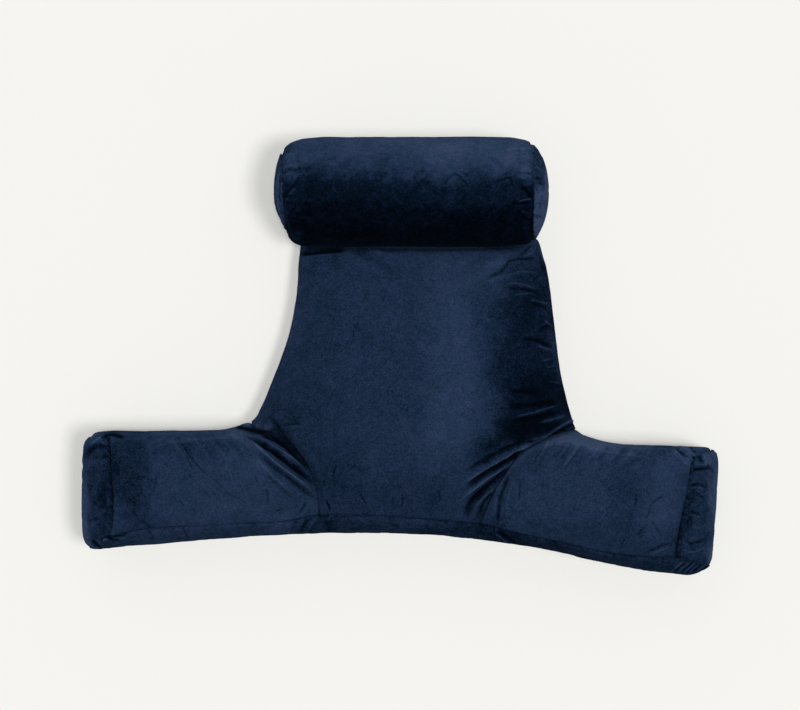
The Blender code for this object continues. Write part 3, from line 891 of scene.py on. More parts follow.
RIGHT_ARM_FOLDS = fold_rows([
    # width, height, shade, points (x, y) along the line
    # Beside the seam to the backrest.
    (26, 18, 16, (2051, -1269), (1850, -1377), (1656, -1542), (1520, -1721), (1377, -1965),
     (1312, -2194)),
    (28, -22, -32, (1563, -1678), (1491, -1850), (1434, -2022), (1405, -2194), (1398, -2337),
     (1405, -2510)),
    (18, 12, 10, (1649, -1735), (1563, -1936), (1520, -2165), (1520, -2423)),
    # At the outer upper corner.
    (20, 16, 20, (3872, -1355), (3958, -1377), (4015, -1463), (4073, -1534), (4130, -1570),
     (4173, -1606)),
    (15, -18, -26, (3958, -1334), (4015, -1377), (4073, -1427), (4130, -1470)),
    (17, 18, 30, (4015, -1291), (4087, -1334), (4144, -1362), (4187, -1420)),
    RIGHT_CORNER_FOLD,
    # Soft folds that fan out from the upper edge.
    (14, -10, -16, (1721, -1792), (1685, -2108)),
    (16, -12, -14, (2022, -1348), (1857, -1592)),
    (18, -10, -10, (2137, -1319), (1965, -1563), (1864, -1764)),
    (14, 12, 14, (2237, -1262), (2022, -1491)),
    (26, -14, -8, (2481, -1291), (2352, -1448), (2165, -1706)),
    (26, -12, -8, (2854, -1291), (2753, -1448), (2639, -1635)),
    (26, -12, -7, (3112, -1276), (2954, -1477), (2725, -1764)),
    # Short creases in the pile, and the folds at the outer corners.
    (13, -8, -22, (3360, -1965), (3346, -2180)),
    (14, -10, -20, (3779, -1979), (3585, -2122), (3542, -2251), (3492, -2366)),
    (13, -8, -18, (3542, -2395), (3363, -2581)),
    (13, -8, -22, (3561, -2330), (3750, -2603)),
    (13, -8, -16, (3212, -2610), (3120, -2789)),
    (20, -22, -20, (3900, -2690), (3700, -2750), (3460, -2861)),
    (16, 16, 14, (3857, -2760), (3700, -2801), (3559, -2861)),
    (22, -24, -24, (3941, -1301), (4021, -1380), (4120, -1460)),
    (14, -10, -16, (3760, -1329), (3800, -1448)),
    (14, -8, -10, (4302, -1391), (4216, -1534)),
    (13, -6, -12, (3958, -1649), (3900, -1850)),
    (13, -6, -12, (2510, -2079), (2452, -2251)),
    (13, -6, -10, (2925, -1764), (2839, -1907)),
])
RIGHT_ARM_PATCHES = patch_rows([
    # centre (x, y), half lengths, turn, softness, shade
    ((374, -200), (26, 62), -12, 50, 13),
    ((320, -200), (22, 60), -8, 60, -7),
    ((252, -140), (40, 16), -10, 60, 3),
    # This row and the one at (305, -129) paint a highlight along the upper edge.
    ((250, -118), (46, 15), -8, 90, 30),
    ((135, -235), (16, 14), 0, 60, -13),
    ((409, -277), (18, 14), 0, 60, -18),
    ((305, -129), (42, 11), -8, 90, 18),
    ((380, -129), (18, 8), 0, 60, -30),
    ((416, -144), (20, 10), 0, 60, 10),
    ((414, -152), (8, 16), 0, 60, 12),
    ((356, -198), (11, 36), -4, 60, -8),
    ((400, -251), (8, 26), -10, 60, -10),
    ((210, -200), (60, 50), 0, 80, 3),
])
print("on the right arm:", len(RIGHT_ARM_FOLDS), "folds,", len(RIGHT_ARM_PATCHES), "patches")

# %% Scatter fine lines over both arms
STRAY = 0.003                 # how far the start of a fine line strays

# Lines that fan out from the right arm's upper edge: by chance a ridge with a painted highlight or a
# valley with painted shade.
chance = np.random.default_rng(5)
for place in np.linspace(0.0, 1.0, 15):
    start = np.array([0.212 + 0.150 * place, -0.121 - 0.008 * place])
    start += chance.uniform(-STRAY, STRAY, 2)
    run = np.array([-0.020 - 0.010 * place, -0.030]) * chance.uniform(0.7, 1.6)
    bow = np.array([0.002, -0.001])
    sign = chance.choice([-1.0, 1.0])
    line = [tuple(start), tuple(start + 0.5 * run + bow), tuple(start + run)]
    width = chance.uniform(0.0014, 0.0026)
    RIGHT_ARM_FOLDS.append((line, width, 0.0011 * sign, (0.16 - 0.06 * place) * sign))
# Fainter ones, painted the same way, that run over the left arm towards the backrest.
for place in np.linspace(0.0, 1.0, 10):
    start = np.array([-0.332 + 0.100 * place, -0.114 - 0.004 * place])
    start += chance.uniform(-STRAY, STRAY, 2)
    run = np.array([0.030, -0.036]) * chance.uniform(0.6, 1.3)
    sign = chance.choice([-1.0, 1.0])
    width = chance.uniform(0.0013, 0.0022)
    LEFT_ARM_FOLDS.append(([tuple(start), tuple(start + run)], width, 0.0008 * sign, 0.08 * sign))
print("with the fine lines:", len(LEFT_ARM_FOLDS), "and", len(RIGHT_ARM_FOLDS), "folds")

# %% Fold and shade the arms
WALL_FADE = 0.6               # change of slope over which a bulging wall's light dies away
# Nudges of the corners of arms and gussets: centre (x, y), reach and move.
CORNERS = [
    ((0.446, -0.306), 0.036, (0.0022, -0.0030)),
    ((0.418, -0.312), 0.018, (0.0, -0.0014)),
    ((0.443, -0.301), 0.012, (-0.0014, 0.0008)),
    ((0.454, -0.258), 0.030, (0.0011, 0.0)),
    ((0.456, -0.136), 0.026, (0.0012, 0.0016)),
    ((-0.438, -0.281), 0.030, (0.0, -0.0012)),
    ((-0.449, -0.279), 0.010, (0.0014, 0.0010)),
    ((-0.4545, -0.1140), 0.013, (0.0024, -0.0026)),
    ((-0.2160, -0.0985), 0.012, (0.0, 0.0016)),
    *NOTCH,
    ((0.4546, -0.1350), 0.009, (-0.0014, -0.0026)),
    ((-0.4600, -0.1605), 0.012, (0.0010, 0.0)),
]

for piece, rows, patches, junction in (
        (arm_left, LEFT_ARM_FOLDS, LEFT_ARM_PATCHES, LEFT_JUNCTION),
        (arm_right, RIGHT_ARM_FOLDS, RIGHT_ARM_PATCHES, RIGHT_JUNCTION)):
    refine_folds(piece, rows)
    refine(piece, [LEFT_END_SEAM, RIGHT_END_SEAM, FOOT_SEAM], SEAM_REACH)
    skin = Skin(piece)
    skin.nudge(CORNERS)
    skin.push_all(-RECESS * covered_share(skin.points, skin.normals))
    skin.lumps(size=0.060, height=0.0016, seed=5.0)
    skin.lumps(size=0.016, height=0.0003, seed=6.0)
    # The folds, seams, patches and rim paint shade and highlights into the velvet's colour.
    skin.folds(rows)
    skin.seams([raised(LEFT_END_SEAM), raised(RIGHT_END_SEAM)], width=0.0013, depth=0.0014, shade=-0.34)
    skin.seams([raised(FOOT_SEAM)], width=0.0013, depth=0.0014, shade=-0.26)
    skin.seams([junction[:-2]], width=0.0020, depth=0.0006, shade=-0.10)
    skin.patches(patches)
    skin.rim(dark=-0.20, light=0.25, steep=0.03, clear_of=junction, fade=WALL_FADE)
    skin.keep()

# %% [markdown]
# ## The neck roll
# The roll is a tube of velvet between two round ends. At both seams the tube is gathered, so
# pleats run in from the seam all round and fade out a few centimetres along. Round the tube the
# velvet's colour carries painted light and shade: towards the head it is painted light, towards
# the backrest painted nearly black.

# %% Set the painted shade that follows the roll's slope
# Painted shade of the velvet for its slope towards the head: -1 faces the feet, 1 the head.
SLOPES = [-1.0, -0.70, -0.40, -0.10, 0.18, 0.30, 0.42, 0.52, 0.62, 0.75, 1.0]
SLOPE_SHADES = [-0.52, -0.50, -0.44, -0.29, -0.28, -0.23, -0.15, -0.04, 0.06, 0.16, 0.22]
# How much farther down the painted light reaches at places along the roll: x, added slope.
REACH_ALONG = [(-0.165, 0.36), (-0.150, 0.26), (-0.130, 0.10), (-0.060, 0.07), (-0.010, 0.08),
               (0.020, 0.13), (0.040, 0.22), (0.060, 0.24), (0.080, 0.20), (0.100, 0.11),
               (0.120, 0.17), (0.140, 0.14), (0.160, 0.18), (0.180, 0.28)]
print("a slope towards the head is shaded from", SLOPE_SHADES[0], "to", SLOPE_SHADES[-1])

# %% List the neck roll's folds and patches
ROLL_FOLDS = fold_rows([
    # width, height, shade, points (x, y) along the line
    # At the left seam.
    (14, -12, -22, (-1652, 2666), (-1524, 2640), (-1367, 2659)),
    (18, -16, -20, (-1695, 2179), (-1595, 2335), (-1452, 2456)),
    (14, 12, 14, (-1652, 2143), (-1552, 2293), (-1424, 2407)),
    (18, -14, -16, (-1623, 1922), (-1552, 2029), (-1452, 2122)),
    (16, 10, 10, (-1638, 2805), (-1538, 2919), (-1438, 2998)),
    (14, 12, 14, (-1723, 2520), (-1623, 2570), (-1524, 2570)),
    # Short creases in the pile.
    (13, -10, -20, (598, 2392), (769, 2570), (897, 2478), (1025, 2357)),
    (13, -10, -22, (1310, 2426), (1452, 2492), (1566, 2511), (1616, 2350)),
    (13, -8, -16, (1424, 2535), (1552, 2606)),
    (13, -8, -14, (883, 2606), (1011, 2513)),
    (16, -8, -12, (199, 2606), (370, 2492), (456, 2407)),
    # At the right seam.
    (14, 20, 34, (1652, 2157), (1766, 2204), (1901, 2221)),
    (24, -28, -34, (1723, 2392), (1823, 2307), (1894, 2221)),
    (18, -24, -30, (1566, 2164), (1752, 2153), (1894, 2164)),
    (22, 16, 16, (1709, 2649), (1823, 2549), (1908, 2464)),
    (14, -14, -24, (1737, 2599), (1823, 2577), (1894, 2592)),
    (18, -10, -12, (1680, 2748), (1794, 2727)),
    (18, -14, -14, (1709, 1979), (1823, 1930), (1894, 1865)),
    (13, 12, 12, (1737, 2036), (1837, 2008), (1908, 1958)),
    (30, 10, 6, (1495, 2919), (1680, 2962), (1851, 2919)),
])
ROLL_PATCHES = patch_rows([
    # centre (x, y), half lengths, turn, softness, shade
    ((170, 256), (30, 20), 0, 70, 6),
    ((110, 290), (75, 24), 0, 70, 8),
    ((0, 313), (34, 10), 0, 60, 10),
    ((-140, 282), (40, 30), 0, 60, -5),
    ((-164, 299), (12, 10), 0, 60, -24),
    ((-154, 166), (12, 11), -40, 60, 25),
    ((78, 248), (30, 12), 0, 60, 10),
    ((-118, 241), (14, 12), 0, 60, -11),
    ((-165, 264), (9, 14), 0, 60, 12),
    ((184, 188), (7, 22), 0, 60, 12),
    ((-100, 226), (40, 20), 10, 70, -5),
])
print("on the neck roll:", len(ROLL_FOLDS), "folds,", len(ROLL_PATCHES), "patches")

# %% List the folds and patches of the roll's ends
ROLL_LEFT_FOLDS = fold_rows([
    # width, height, shade, points (x, y) along the line
    (15, 10, 30, (-1723, 2691), (-1752, 2492), (-1757, 2264), (-1723, 2036), (-1638, 1823)),
    (16, -8, -16, (-1695, 2634), (-1716, 2407), (-1712, 2207), (-1666, 1979)),
])
ROLL_RIGHT_FOLDS = fold_rows([
    # width, height, shade, points (x, y) along the line
    (12, 12, 24, (1922, 2684), (1979, 2656), (2051, 2606)),
    (12, 10, 20, (1922, 2805), (1979, 2791), (2029, 2734)),
    (16, -14, -26, (1915, 2520), (1979, 2513), (2043, 2492)),
    (14, -10, -24, (1965, 2464), (2008, 2435), (2065, 2449)),
    (12, -10, -28, (1915, 2392), (1972, 2321)),
    (14, -12, -30, (1901, 2065), (1951, 2150), (2008, 2143), (2015, 2051)),
    (18, -14, -26, (1915, 1979), (1979, 1972), (2043, 1979)),
    (12, 10, 22, (1887, 2058), (1944, 2001)),
    (12, 10, 18, (2036, 2136), (2043, 2036), (2022, 1922)),
])
ROLL_LEFT_PATCHES = patch_rows([
    # centre (x, y), half lengths, turn, softness, shade
    ((-180, 200), (20, 40), 0, 50, 6),
])
ROLL_RIGHT_PATCHES = patch_rows([
    # centre (x, y), half lengths, turn, softness, shade
    ((206, 202), (22, 36), 0, 30, 36),
    ((214, 234), (7, 40), 5, 50, 54),
    ((190, 256), (7, 32), 8, 60, -6),
    ((201, 181), (14, 14), 0, 50, 42),
])
print("folds on the roll's ends:", len(ROLL_LEFT_FOLDS), "and", len(ROLL_RIGHT_FOLDS))

# %% Make pleats round a seam
roll_low, roll_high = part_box("roll_end_left")
ROLL_CENTRE = (roll_low + roll_high) / 2       # a point on the roll's long axis
PLEATS_ROUND = 26             # pleats all round one seam
PLEAT_STRAY = 0.35            # how far a pleat strays from its even place, as a share of one space
PLEAT_LENGTHS = (0.014, 0.036)
PLEAT_HEIGHTS = [-0.0024, -0.0016, 0.0012, 0.0016]
PLEAT_SLANT = 0.25            # greatest way aside for each metre of run
PLEAT_WIDTH = 0.0028
PLEAT_SPREAD = (0.6, 1.3)     # least and greatest share of that width
PLEAT_BACK = 0.002            # how far a pleat reaches back over its seam
PLEAT_SHADE = 0.13


def pleats(skin, seam, inward, seed):
    """Ridges with a painted highlight and valleys with painted shade that run in from a round seam;
    inward is 1 or -1 along X.
    """
    chance = np.random.default_rng(seed)
    angles = np.arctan2(skin.points[:, 2] - ROLL_CENTRE.z, skin.points[:, 1] - ROLL_CENTRE.y)
    radius = np.hypot(skin.points[:, 2] - ROLL_CENTRE.z, skin.points[:, 1] - ROLL_CENTRE.y)
    run = (skin.points[:, 0] - seam) * inward
    for number in range(PLEATS_ROUND):
        middle = (number + chance.uniform(-PLEAT_STRAY, PLEAT_STRAY)) * math.tau / PLEATS_ROUND
        length = chance.uniform(*PLEAT_LENGTHS)
        height = chance.choice(PLEAT_HEIGHTS)
        slant = chance.uniform(-PLEAT_SLANT, PLEAT_SLANT)
        width = PLEAT_WIDTH * chance.uniform(*PLEAT_SPREAD)
        off = (angles - middle + math.pi) % math.tau - math.pi
        aside = off * radius - slant * run
        profile = np.exp(-(aside / width) ** 2) * ease(1 - run / length) * (run > -PLEAT_BACK)
        profile *= skin.upper
        skin.push_all(height * profile)
        skin.shade += np.sign(height) * PLEAT_SHADE * profile


def ring(x, radius):
    """A round line about the roll's axis."""
    turns = np.linspace(0, math.tau, 25)
    return [(x, ROLL_CENTRE.y + radius * math.cos(turn), ROLL_CENTRE.z + radius * math.sin(turn))
            for turn in turns]


# %% Pleat and shade the neck roll
LEFT_RING, RIGHT_RING = 0.062, 0.071           # radii of the roll's seams
ROLL_STRAY = 5.0              # how strongly the straying of points changes their slope
LIT_FROM = -0.6               # slope from which the light's reach along the roll counts
LIT_FADE = 0.5
PLEATED = 0.024               # how far the finer skin reaches beside the roll's seams
ROLL_CORNERS = [
    # centre (x, y), reach, move
    ((-0.165, 0.300), 0.045, (-0.0030, 0.0020)),
    ((-0.172, 0.186), 0.040, (0.0040, 0.0)),
    ((-0.146, 0.158), 0.030, (-0.0010, -0.0026)),
    ((0.186, 0.166), 0.028, (0.0014, -0.0024)),
]

refine_folds(neck_roll, ROLL_FOLDS)
refine(neck_roll, [[(seam, 0.150), (seam, 0.320)] for seam in ROLL_SEAMS], PLEATED)
skin = Skin(neck_roll)
skin.nudge(ROLL_CORNERS)
# The roll's colour gets painted light and shade by its slope towards the head.
slope = skin.normals[:, 1] + ROLL_STRAY * skin.wander[:, 0]
reach = np.interp(skin.points[:, 0], *zip(*REACH_ALONG))
slope += reach * ease((skin.normals[:, 1] - LIT_FROM) / LIT_FADE)
skin.shade += np.interp(slope, SLOPES, SLOPE_SHADES)
skin.lumps(size=0.060, height=0.0018, seed=8.0)
skin.lumps(size=0.016, height=0.0003, seed=9.0)
pleats(skin, ROLL_SEAMS[0], inward=1, seed=21)
pleats(skin, ROLL_SEAMS[1], inward=-1, seed=35)
skin.folds(ROLL_FOLDS)
skin.seams([ring(ROLL_SEAMS[0], LEFT_RING)], width=0.0024, depth=0.0010, shade=-0.06)
skin.seams([ring(ROLL_SEAMS[1], RIGHT_RING)], width=0.0018, depth=0.0020, shade=-0.34)
skin.patches(ROLL_PATCHES)
skin.rim(dark=-0.20, light=0.0, steep=0.30)
skin.keep()

# %% [markdown]
# ## Gussets, end panels and the roll's ends
# These are single sheets of velvet, sewn round the filling. Each one starts from the outer skin of
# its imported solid, found by its distance from the filling behind it. Its triangles are joined to
# squares, subdivided smooth and folded like the rest. The upper edge is drawn into the seam, and
# the last step gives the sheet its thickness.

# %% Take the outer skin of a thin solid
OUTER_DISTANCE = 0.0022       # the outer skin is farther than this from the filling
JOIN_ANGLE = math.radians(50)  # two triangles that bend less than this become one square
SHEET_LEVELS = 3

filling = surface_of("backrest", "arm_left", "arm_right", "neck_roll")


def outer_skin(name, node):
    bm = merged_copy(node)
    inner = [face for face in bm.faces
             if filling.find_nearest(face.calc_center_median())[3] < OUTER_DISTANCE]
    bmesh.ops.delete(bm, geom=inner, context="FACES")
    bmesh.ops.join_triangles(bm, faces=bm.faces, angle_face_threshold=JOIN_ANGLE,
                             angle_shape_threshold=JOIN_ANGLE)
    piece = new_piece(name, bm)
    finer = piece.modifiers.new("finer", "SUBSURF")
    finer.levels = SHEET_LEVELS
    finer.render_levels = SHEET_LEVELS
    keep_result(piece)
    print(name, "has", len(piece.data.polygons), "faces and covers",
          round(sum(face.area for face in piece.data.polygons), 4), "square metres")
    return piece


bottom_gusset = outer_skin("bottom_gusset_cloth", "bottom_gusset")
end_left = outer_skin("end_panel_left_cloth", "end_panel_left")
end_right = outer_skin("end_panel_right_cloth", "end_panel_right")
roll_left = outer_skin("roll_end_left_cloth", "roll_end_left")
roll_right = outer_skin("roll_end_right_cloth", "roll_end_right")

# %% Sew the sheets' edges down
SEAM_CATCH = 0.010            # an edge point this near a seam is drawn to it
SEAM_MARGIN = 0.004           # points less than this below the seams belong to them
CORNER_REACH = 0.009          # an end panel's edge this near the bottom gusset's is joined to it
TUCK = 0.0012                 # how deep an edge is drawn into its seam
FREE_TUCK = 0.0030            # how deep an edge is turned in where it lies on the filling


def edge_points(piece):
    """Numbers of the points on a sheet's open edges."""
    bm = bmesh.new()
    bm.from_mesh(piece.data)
    found = [vert.index for vert in bm.verts if vert.is_boundary]
    bm.free()
    return np.array(found)


def draw_to_seams(piece, lines):
    """Move a sheet's edge points near a line onto it, a little deeper."""
    points = read_points(piece)
    normals = read_normals(piece)
    edge = edge_points(piece)
    knots = np.vstack([rounded(line, steps=40) for line in lines])
    for number in edge:
        gaps = np.linalg.norm(knots - points[number], axis=1)
        nearest = gaps.argmin()
        if gaps[nearest] < SEAM_CATCH:
            points[number] = knots[nearest] - normals[number] * TUCK
    write_points(piece, points)


def close_corners(piece, others):
    """Join a panel's upright edges to the given points where they are near, else turn them in."""
    points = read_points(piece)
    normals = read_normals(piece)
    for number in edge_points(piece):
        gaps = np.linalg.norm(others - points[number], axis=1)
        if points[number][2] > SEAM_HEIGHT - SEAM_MARGIN:
            continue
        if gaps.min() < CORNER_REACH:
            points[number] = others[gaps.argmin()] - normals[number] * TUCK
        else:
            points[number] -= normals[number] * FREE_TUCK
    write_points(piece, points)


def turn_in(piece):
    points = read_points(piece)
    edge = edge_points(piece)
    points[edge] -= read_normals(piece)[edge] * FREE_TUCK
    write_points(piece, points)
    print(piece.name, "is turned in at", len(edge), "points")


for piece in (bottom_gusset, end_left, end_right):
    draw_to_seams(piece, arm_seams)
gusset_edge = read_points(bottom_gusset)[edge_points(bottom_gusset)]
for piece in (end_left, end_right):
    close_corners(piece, gusset_edge)
for piece in (roll_left, roll_right):
    turn_in(piece)

# %% List the bottom gusset's folds and patches
# These folds run over the seam between the bottom gusset and the left end panel.
LOWER_CORNER_FOLDS = [
    (20, -40, -50, (-4445, -2667), (-4374, -2703), (-4280, -2775)),
    (13, 24, 40, (-4481, -2667), (-4431, -2725), (-4345, -2789)),
    (18, 18, 22, (-4331, -2667), (-4288, -2710), (-4252, -2753)),
]

BOTTOM_GUSSET_FOLDS = fold_rows([
    # width, height, shade, points (x, y) along the line
    # Where the arms meet the backrest.
    (18, -18, -24, (-1262, -2302), (-1384, -2459), (-1463, -2596)),
    (16, 14, 14, (-1180, -2302), (-1291, -2459), (-1362, -2596)),
    (16, -10, -14, (-1440, -2330), (-1540, -2481), (-1600, -2596)),
    (16, -10, -12, (-1090, -2280), (-1032, -2459), (-989, -2596)),
    (24, -30, -34, (1391, -2517), (1520, -2610), (1692, -2725)),
    (15, 18, 24, (1348, -2545), (1463, -2631), (1620, -2753)),
    # Along the left arm.
    (14, -10, -18, (-3642, -2459), (-3561, -2560), (-3513, -2682)),
    (14, -10, -16, (-3130, -2431), (-3069, -2560), (-3020, -2682)),
    # At the left arm's lower corner.
    (22, -20, -40, (-4130, -2600), (-4007, -2573), (-3872, -2553)),
    (14, 16, 26, (-4123, -2646), (-4030, -2631), (-3915, -2610)),
    (18, -24, -34, (-4187, -2617), (-4101, -2646), (-3987, -2660)),
    (18, 22, 28, (-4259, -2667), (-4216, -2639), (-4173, -2660)),
    *LOWER_CORNER_FOLDS,
    # Fine lines at the right arm's lower corner, light ones and then dark ones.
    (12, 12, 32, (3879, -3125), (3973, -3030), (4074, -2936)),
    (12, 12, 32, (3980, -3132), (4074, -3038), (4176, -2944)),
    (12, 12, 32, (4067, -3139), (4154, -3052), (4256, -2958)),
    (12, 12, 32, (4147, -3139), (4219, -3059), (4306, -2972)),
    (12, 12, 32, (4234, -3139), (4335, -3059), (4437, -2980)),
    (15, -12, -24, (3925, -3133), (4019, -3039), (4121, -2945)),
    (15, -12, -24, (4027, -3141), (4121, -3046), (4222, -2952)),
    (15, -12, -24, (4114, -3148), (4201, -3061), (4302, -2967)),
    (15, -12, -24, (4193, -3148), (4266, -3068), (4353, -2981)),
    (15, -12, -24, (4280, -3148), (4382, -3068), (4483, -2988)),
])
BOTTOM_GUSSET_PATCHES = patch_rows([
    # centre (x, y), half lengths, turn, softness, shade
    ((-275, -257), (140, 30), 4, 40, 15),
    ((-172, -256), (16, 14), 0, 60, 14),
    ((-136, -255), (12, 14), 0, 60, -10),
    ((409, -277), (18, 14), 0, 60, -12),
    ((-98, -254), (16, 12), 0, 60, -14),
    ((47, -257), (22, 12), 0, 60, -10),
    ((198, -258), (16, 12), 0, 60, 10),
    ((0, -236), (80, 14), 0, 60, 6),
    ((160, -260), (80, 22), -12, 60, -14),
])
print("folds on the bottom gusset:", len(BOTTOM_GUSSET_FOLDS))

# %% List the end panels' folds and patches
END_LEFT_FOLDS = fold_rows([
    # width, height, shade, points (x, y) along the line
    # At the upper corner.
    (16, 30, 36, (-4187, -1116), (-4237, -1140), (-4296, -1195), (-4385, -1248), (-4481, -1348)),
    (13, 16, 22, (-4410, -1169), (-4464, -1262), (-4506, -1334)),
    (36, -40, -34, (-4617, -1520), (-4546, -1456), (-4488, -1400), (-4431, -1348), (-4359, -1311),
     (-4259, -1305), (-4159, -1319), (-4101, -1348)),
    LEFT_CORNER_FOLD,
    (18, 20, 22, (-4280, -1240), (-4230, -1281), (-4180, -1276)),
    # Across the panel.
    (20, -14, -20, (-4245, -1434), (-4173, -1470)),
    (14, 10, 14, (-4503, -1678), (-4445, -1549)),
    (20, -14, -16, (-4474, -2079), (-4359, -2137), (-4273, -2251)),
    (20, 12, 10, (-4445, -2251), (-4331, -2165), (-4245, -2036)),
    (20, -14, -14, (-4503, -2395), (-4374, -2352), (-4259, -2366)),
    # At the lower corner.
    *LOWER_CORNER_FOLDS,
    (18, -24, -34, (-4130, -2524), (-4166, -2600), (-4245, -2636), (-4316, -2650)),
])
END_LEFT_PATCHES = patch_rows([
    # centre (x, y), half lengths, turn, softness, shade
    ((-455, -230), (9, 60), 0, 60, 30),
    ((-448, -256), (10, 14), 0, 60, 12),
    ((-421, -208), (10, 16), 0, 60, -12),
    ((-436, -126), (10, 14), 0, 60, 12),
    ((-424, -208), (7, 46), 0, 60, -13),
    ((-437, -121), (16, 6), 30, 50, 14),
    ((-442, -152), (14, 6), 0, 60, 10),
])
END_RIGHT_PATCHES = patch_rows([
    # centre (x, y), half lengths, turn, softness, shade
    ((442, -145), (11, 13), 0, 40, 32),
    ((454, -200), (10, 44), -3, 60, 34),
    ((448, -284), (10, 14), 0, 60, 34),
    ((411, -230), (44, 9), 80, 60, -13),
])
END_RIGHT_FOLDS = fold_rows([
    # width, height, shade, points (x, y) along the line
    # At the upper corner.
    RIGHT_CORNER_FOLD,
    (16, 14, 20, (4288, -1348), (4331, -1391), (4359, -1448), (4345, -1534)),
    (16, -14, -22, (4187, -1463), (4245, -1441), (4302, -1491), (4359, -1563)),
    (24, -32, -40, (4159, -1640), (4302, -1635), (4460, -1606)),
    (42, 32, 18, (4180, -1560), (4339, -1570), (4500, -1520)),
    (22, -26, -32, (4202, -1329), (4259, -1400), (4331, -1470)),
    (18, -18, -20, (4460, -1500), (4420, -1580), (4560, -1739)),
    # Across the panel.
    (16, -16, -24, (4120, -1879), (4270, -1850), (4400, -1922)),
    (13, 12, 18, (4130, -1922), (4273, -1893), (4388, -1957)),
    (16, -14, -22, (4220, -1960), (4302, -2010), (4388, -2089)),
    (18, -14, -22, (4150, -2230), (4210, -2260), (4331, -2290)),
    (14, 12, 16, (4159, -2273), (4216, -2302), (4331, -2330)),
    (16, -12, -18, (4070, -2200), (4150, -2140), (4190, -2079)),
    # At the lower corner.
    (22, 14, 10, (4120, -2449), (4259, -2481), (4417, -2431)),
    (22, -16, -16, (4058, -2639), (4202, -2700), (4440, -2620)),
    (18, 16, 14, (4001, -2782), (4202, -2819), (4440, -2750)),
])
print("folds on the end panels:", len(END_LEFT_FOLDS), "and", len(END_RIGHT_FOLDS))

# %% Crinkle a sheet and give it thickness
CLOTH = 0.002


def crinkles(skin, size, height, shade, seed):
    """Sharp little ridges all over, as on cloth that was folded small, with a painted highlight on each
    ridge and painted shade between.
    """
    ridges = 1 - 2 * np.abs(ripple(skin.points + np.pad(skin.wander, ((0, 0), (0, 1))), size, seed))
    ridges = ease(ridges) - 0.5
    skin.push_all(height * ridges)
    skin.shade += shade * ridges


def give_thickness(piece):
    cloth = piece.modifiers.new("cloth", "SOLIDIFY")
    cloth.thickness = CLOTH
    cloth.offset = -1.0
    keep_result(piece)


# %% Fold and shade the sheets
FULLNESS = 0.0010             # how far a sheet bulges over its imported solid
GUSSET_RIM = {"dark": -0.34, "light": 0.0, "steep": 0.26}
PANEL_RIM = {"dark": -0.10, "light": 0.22, "steep": 0.06, "fade": WALL_FADE}

# piece, folds, patches, shade all over, rim, seed
for piece, rows, patches, base, rim, seed in (
        (bottom_gusset, BOTTOM_GUSSET_FOLDS, BOTTOM_GUSSET_PATCHES, -0.14, GUSSET_RIM, 11.0),
        (end_left, END_LEFT_FOLDS, END_LEFT_PATCHES, -0.12, PANEL_RIM, 12.0),
        (end_right, END_RIGHT_FOLDS, END_RIGHT_PATCHES, -0.08, PANEL_RIM, 13.0)):
    refine_folds(piece, rows)
    skin = Skin(piece)
    skin.nudge(CORNERS)
    skin.push_all(np.full(len(skin.points), FULLNESS))
    skin.shade += base
    skin.lumps(size=0.040, height=0.0010, seed=seed)
    crinkles(skin, size=0.016, height=0.0006, shade=0.05, seed=seed)
    skin.folds(rows)
    skin.seams([raised(LEFT_END_SEAM), raised(RIGHT_END_SEAM)], width=0.0013, depth=0.0, shade=-0.26)
    skin.seams([raised(FOOT_SEAM)], width=0.0013, depth=0.0, shade=-0.10)
    skin.patches(patches)
    skin.rim(**rim)
    skin.keep()
    give_thickness(piece)
for piece, rows, patches, seed in ((roll_left, ROLL_LEFT_FOLDS, ROLL_LEFT_PATCHES, 14.0),
                                   (roll_right, ROLL_RIGHT_FOLDS, ROLL_RIGHT_PATCHES, 15.0)):
    refine_folds(piece, rows)
    skin = Skin(piece)
    skin.nudge(ROLL_CORNERS)
    crinkles(skin, size=0.012, height=0.0010, shade=0.14, seed=seed)
    skin.folds(rows)
    skin.patches(patches)
    skin.keep()
    give_thickness(piece)

# %% [markdown]
# ## Arithmetic on sockets
# Shader maths reads best as plain expressions. A small class wraps a socket and lets Python's
# operators add the Math nodes; one method makes every other node.

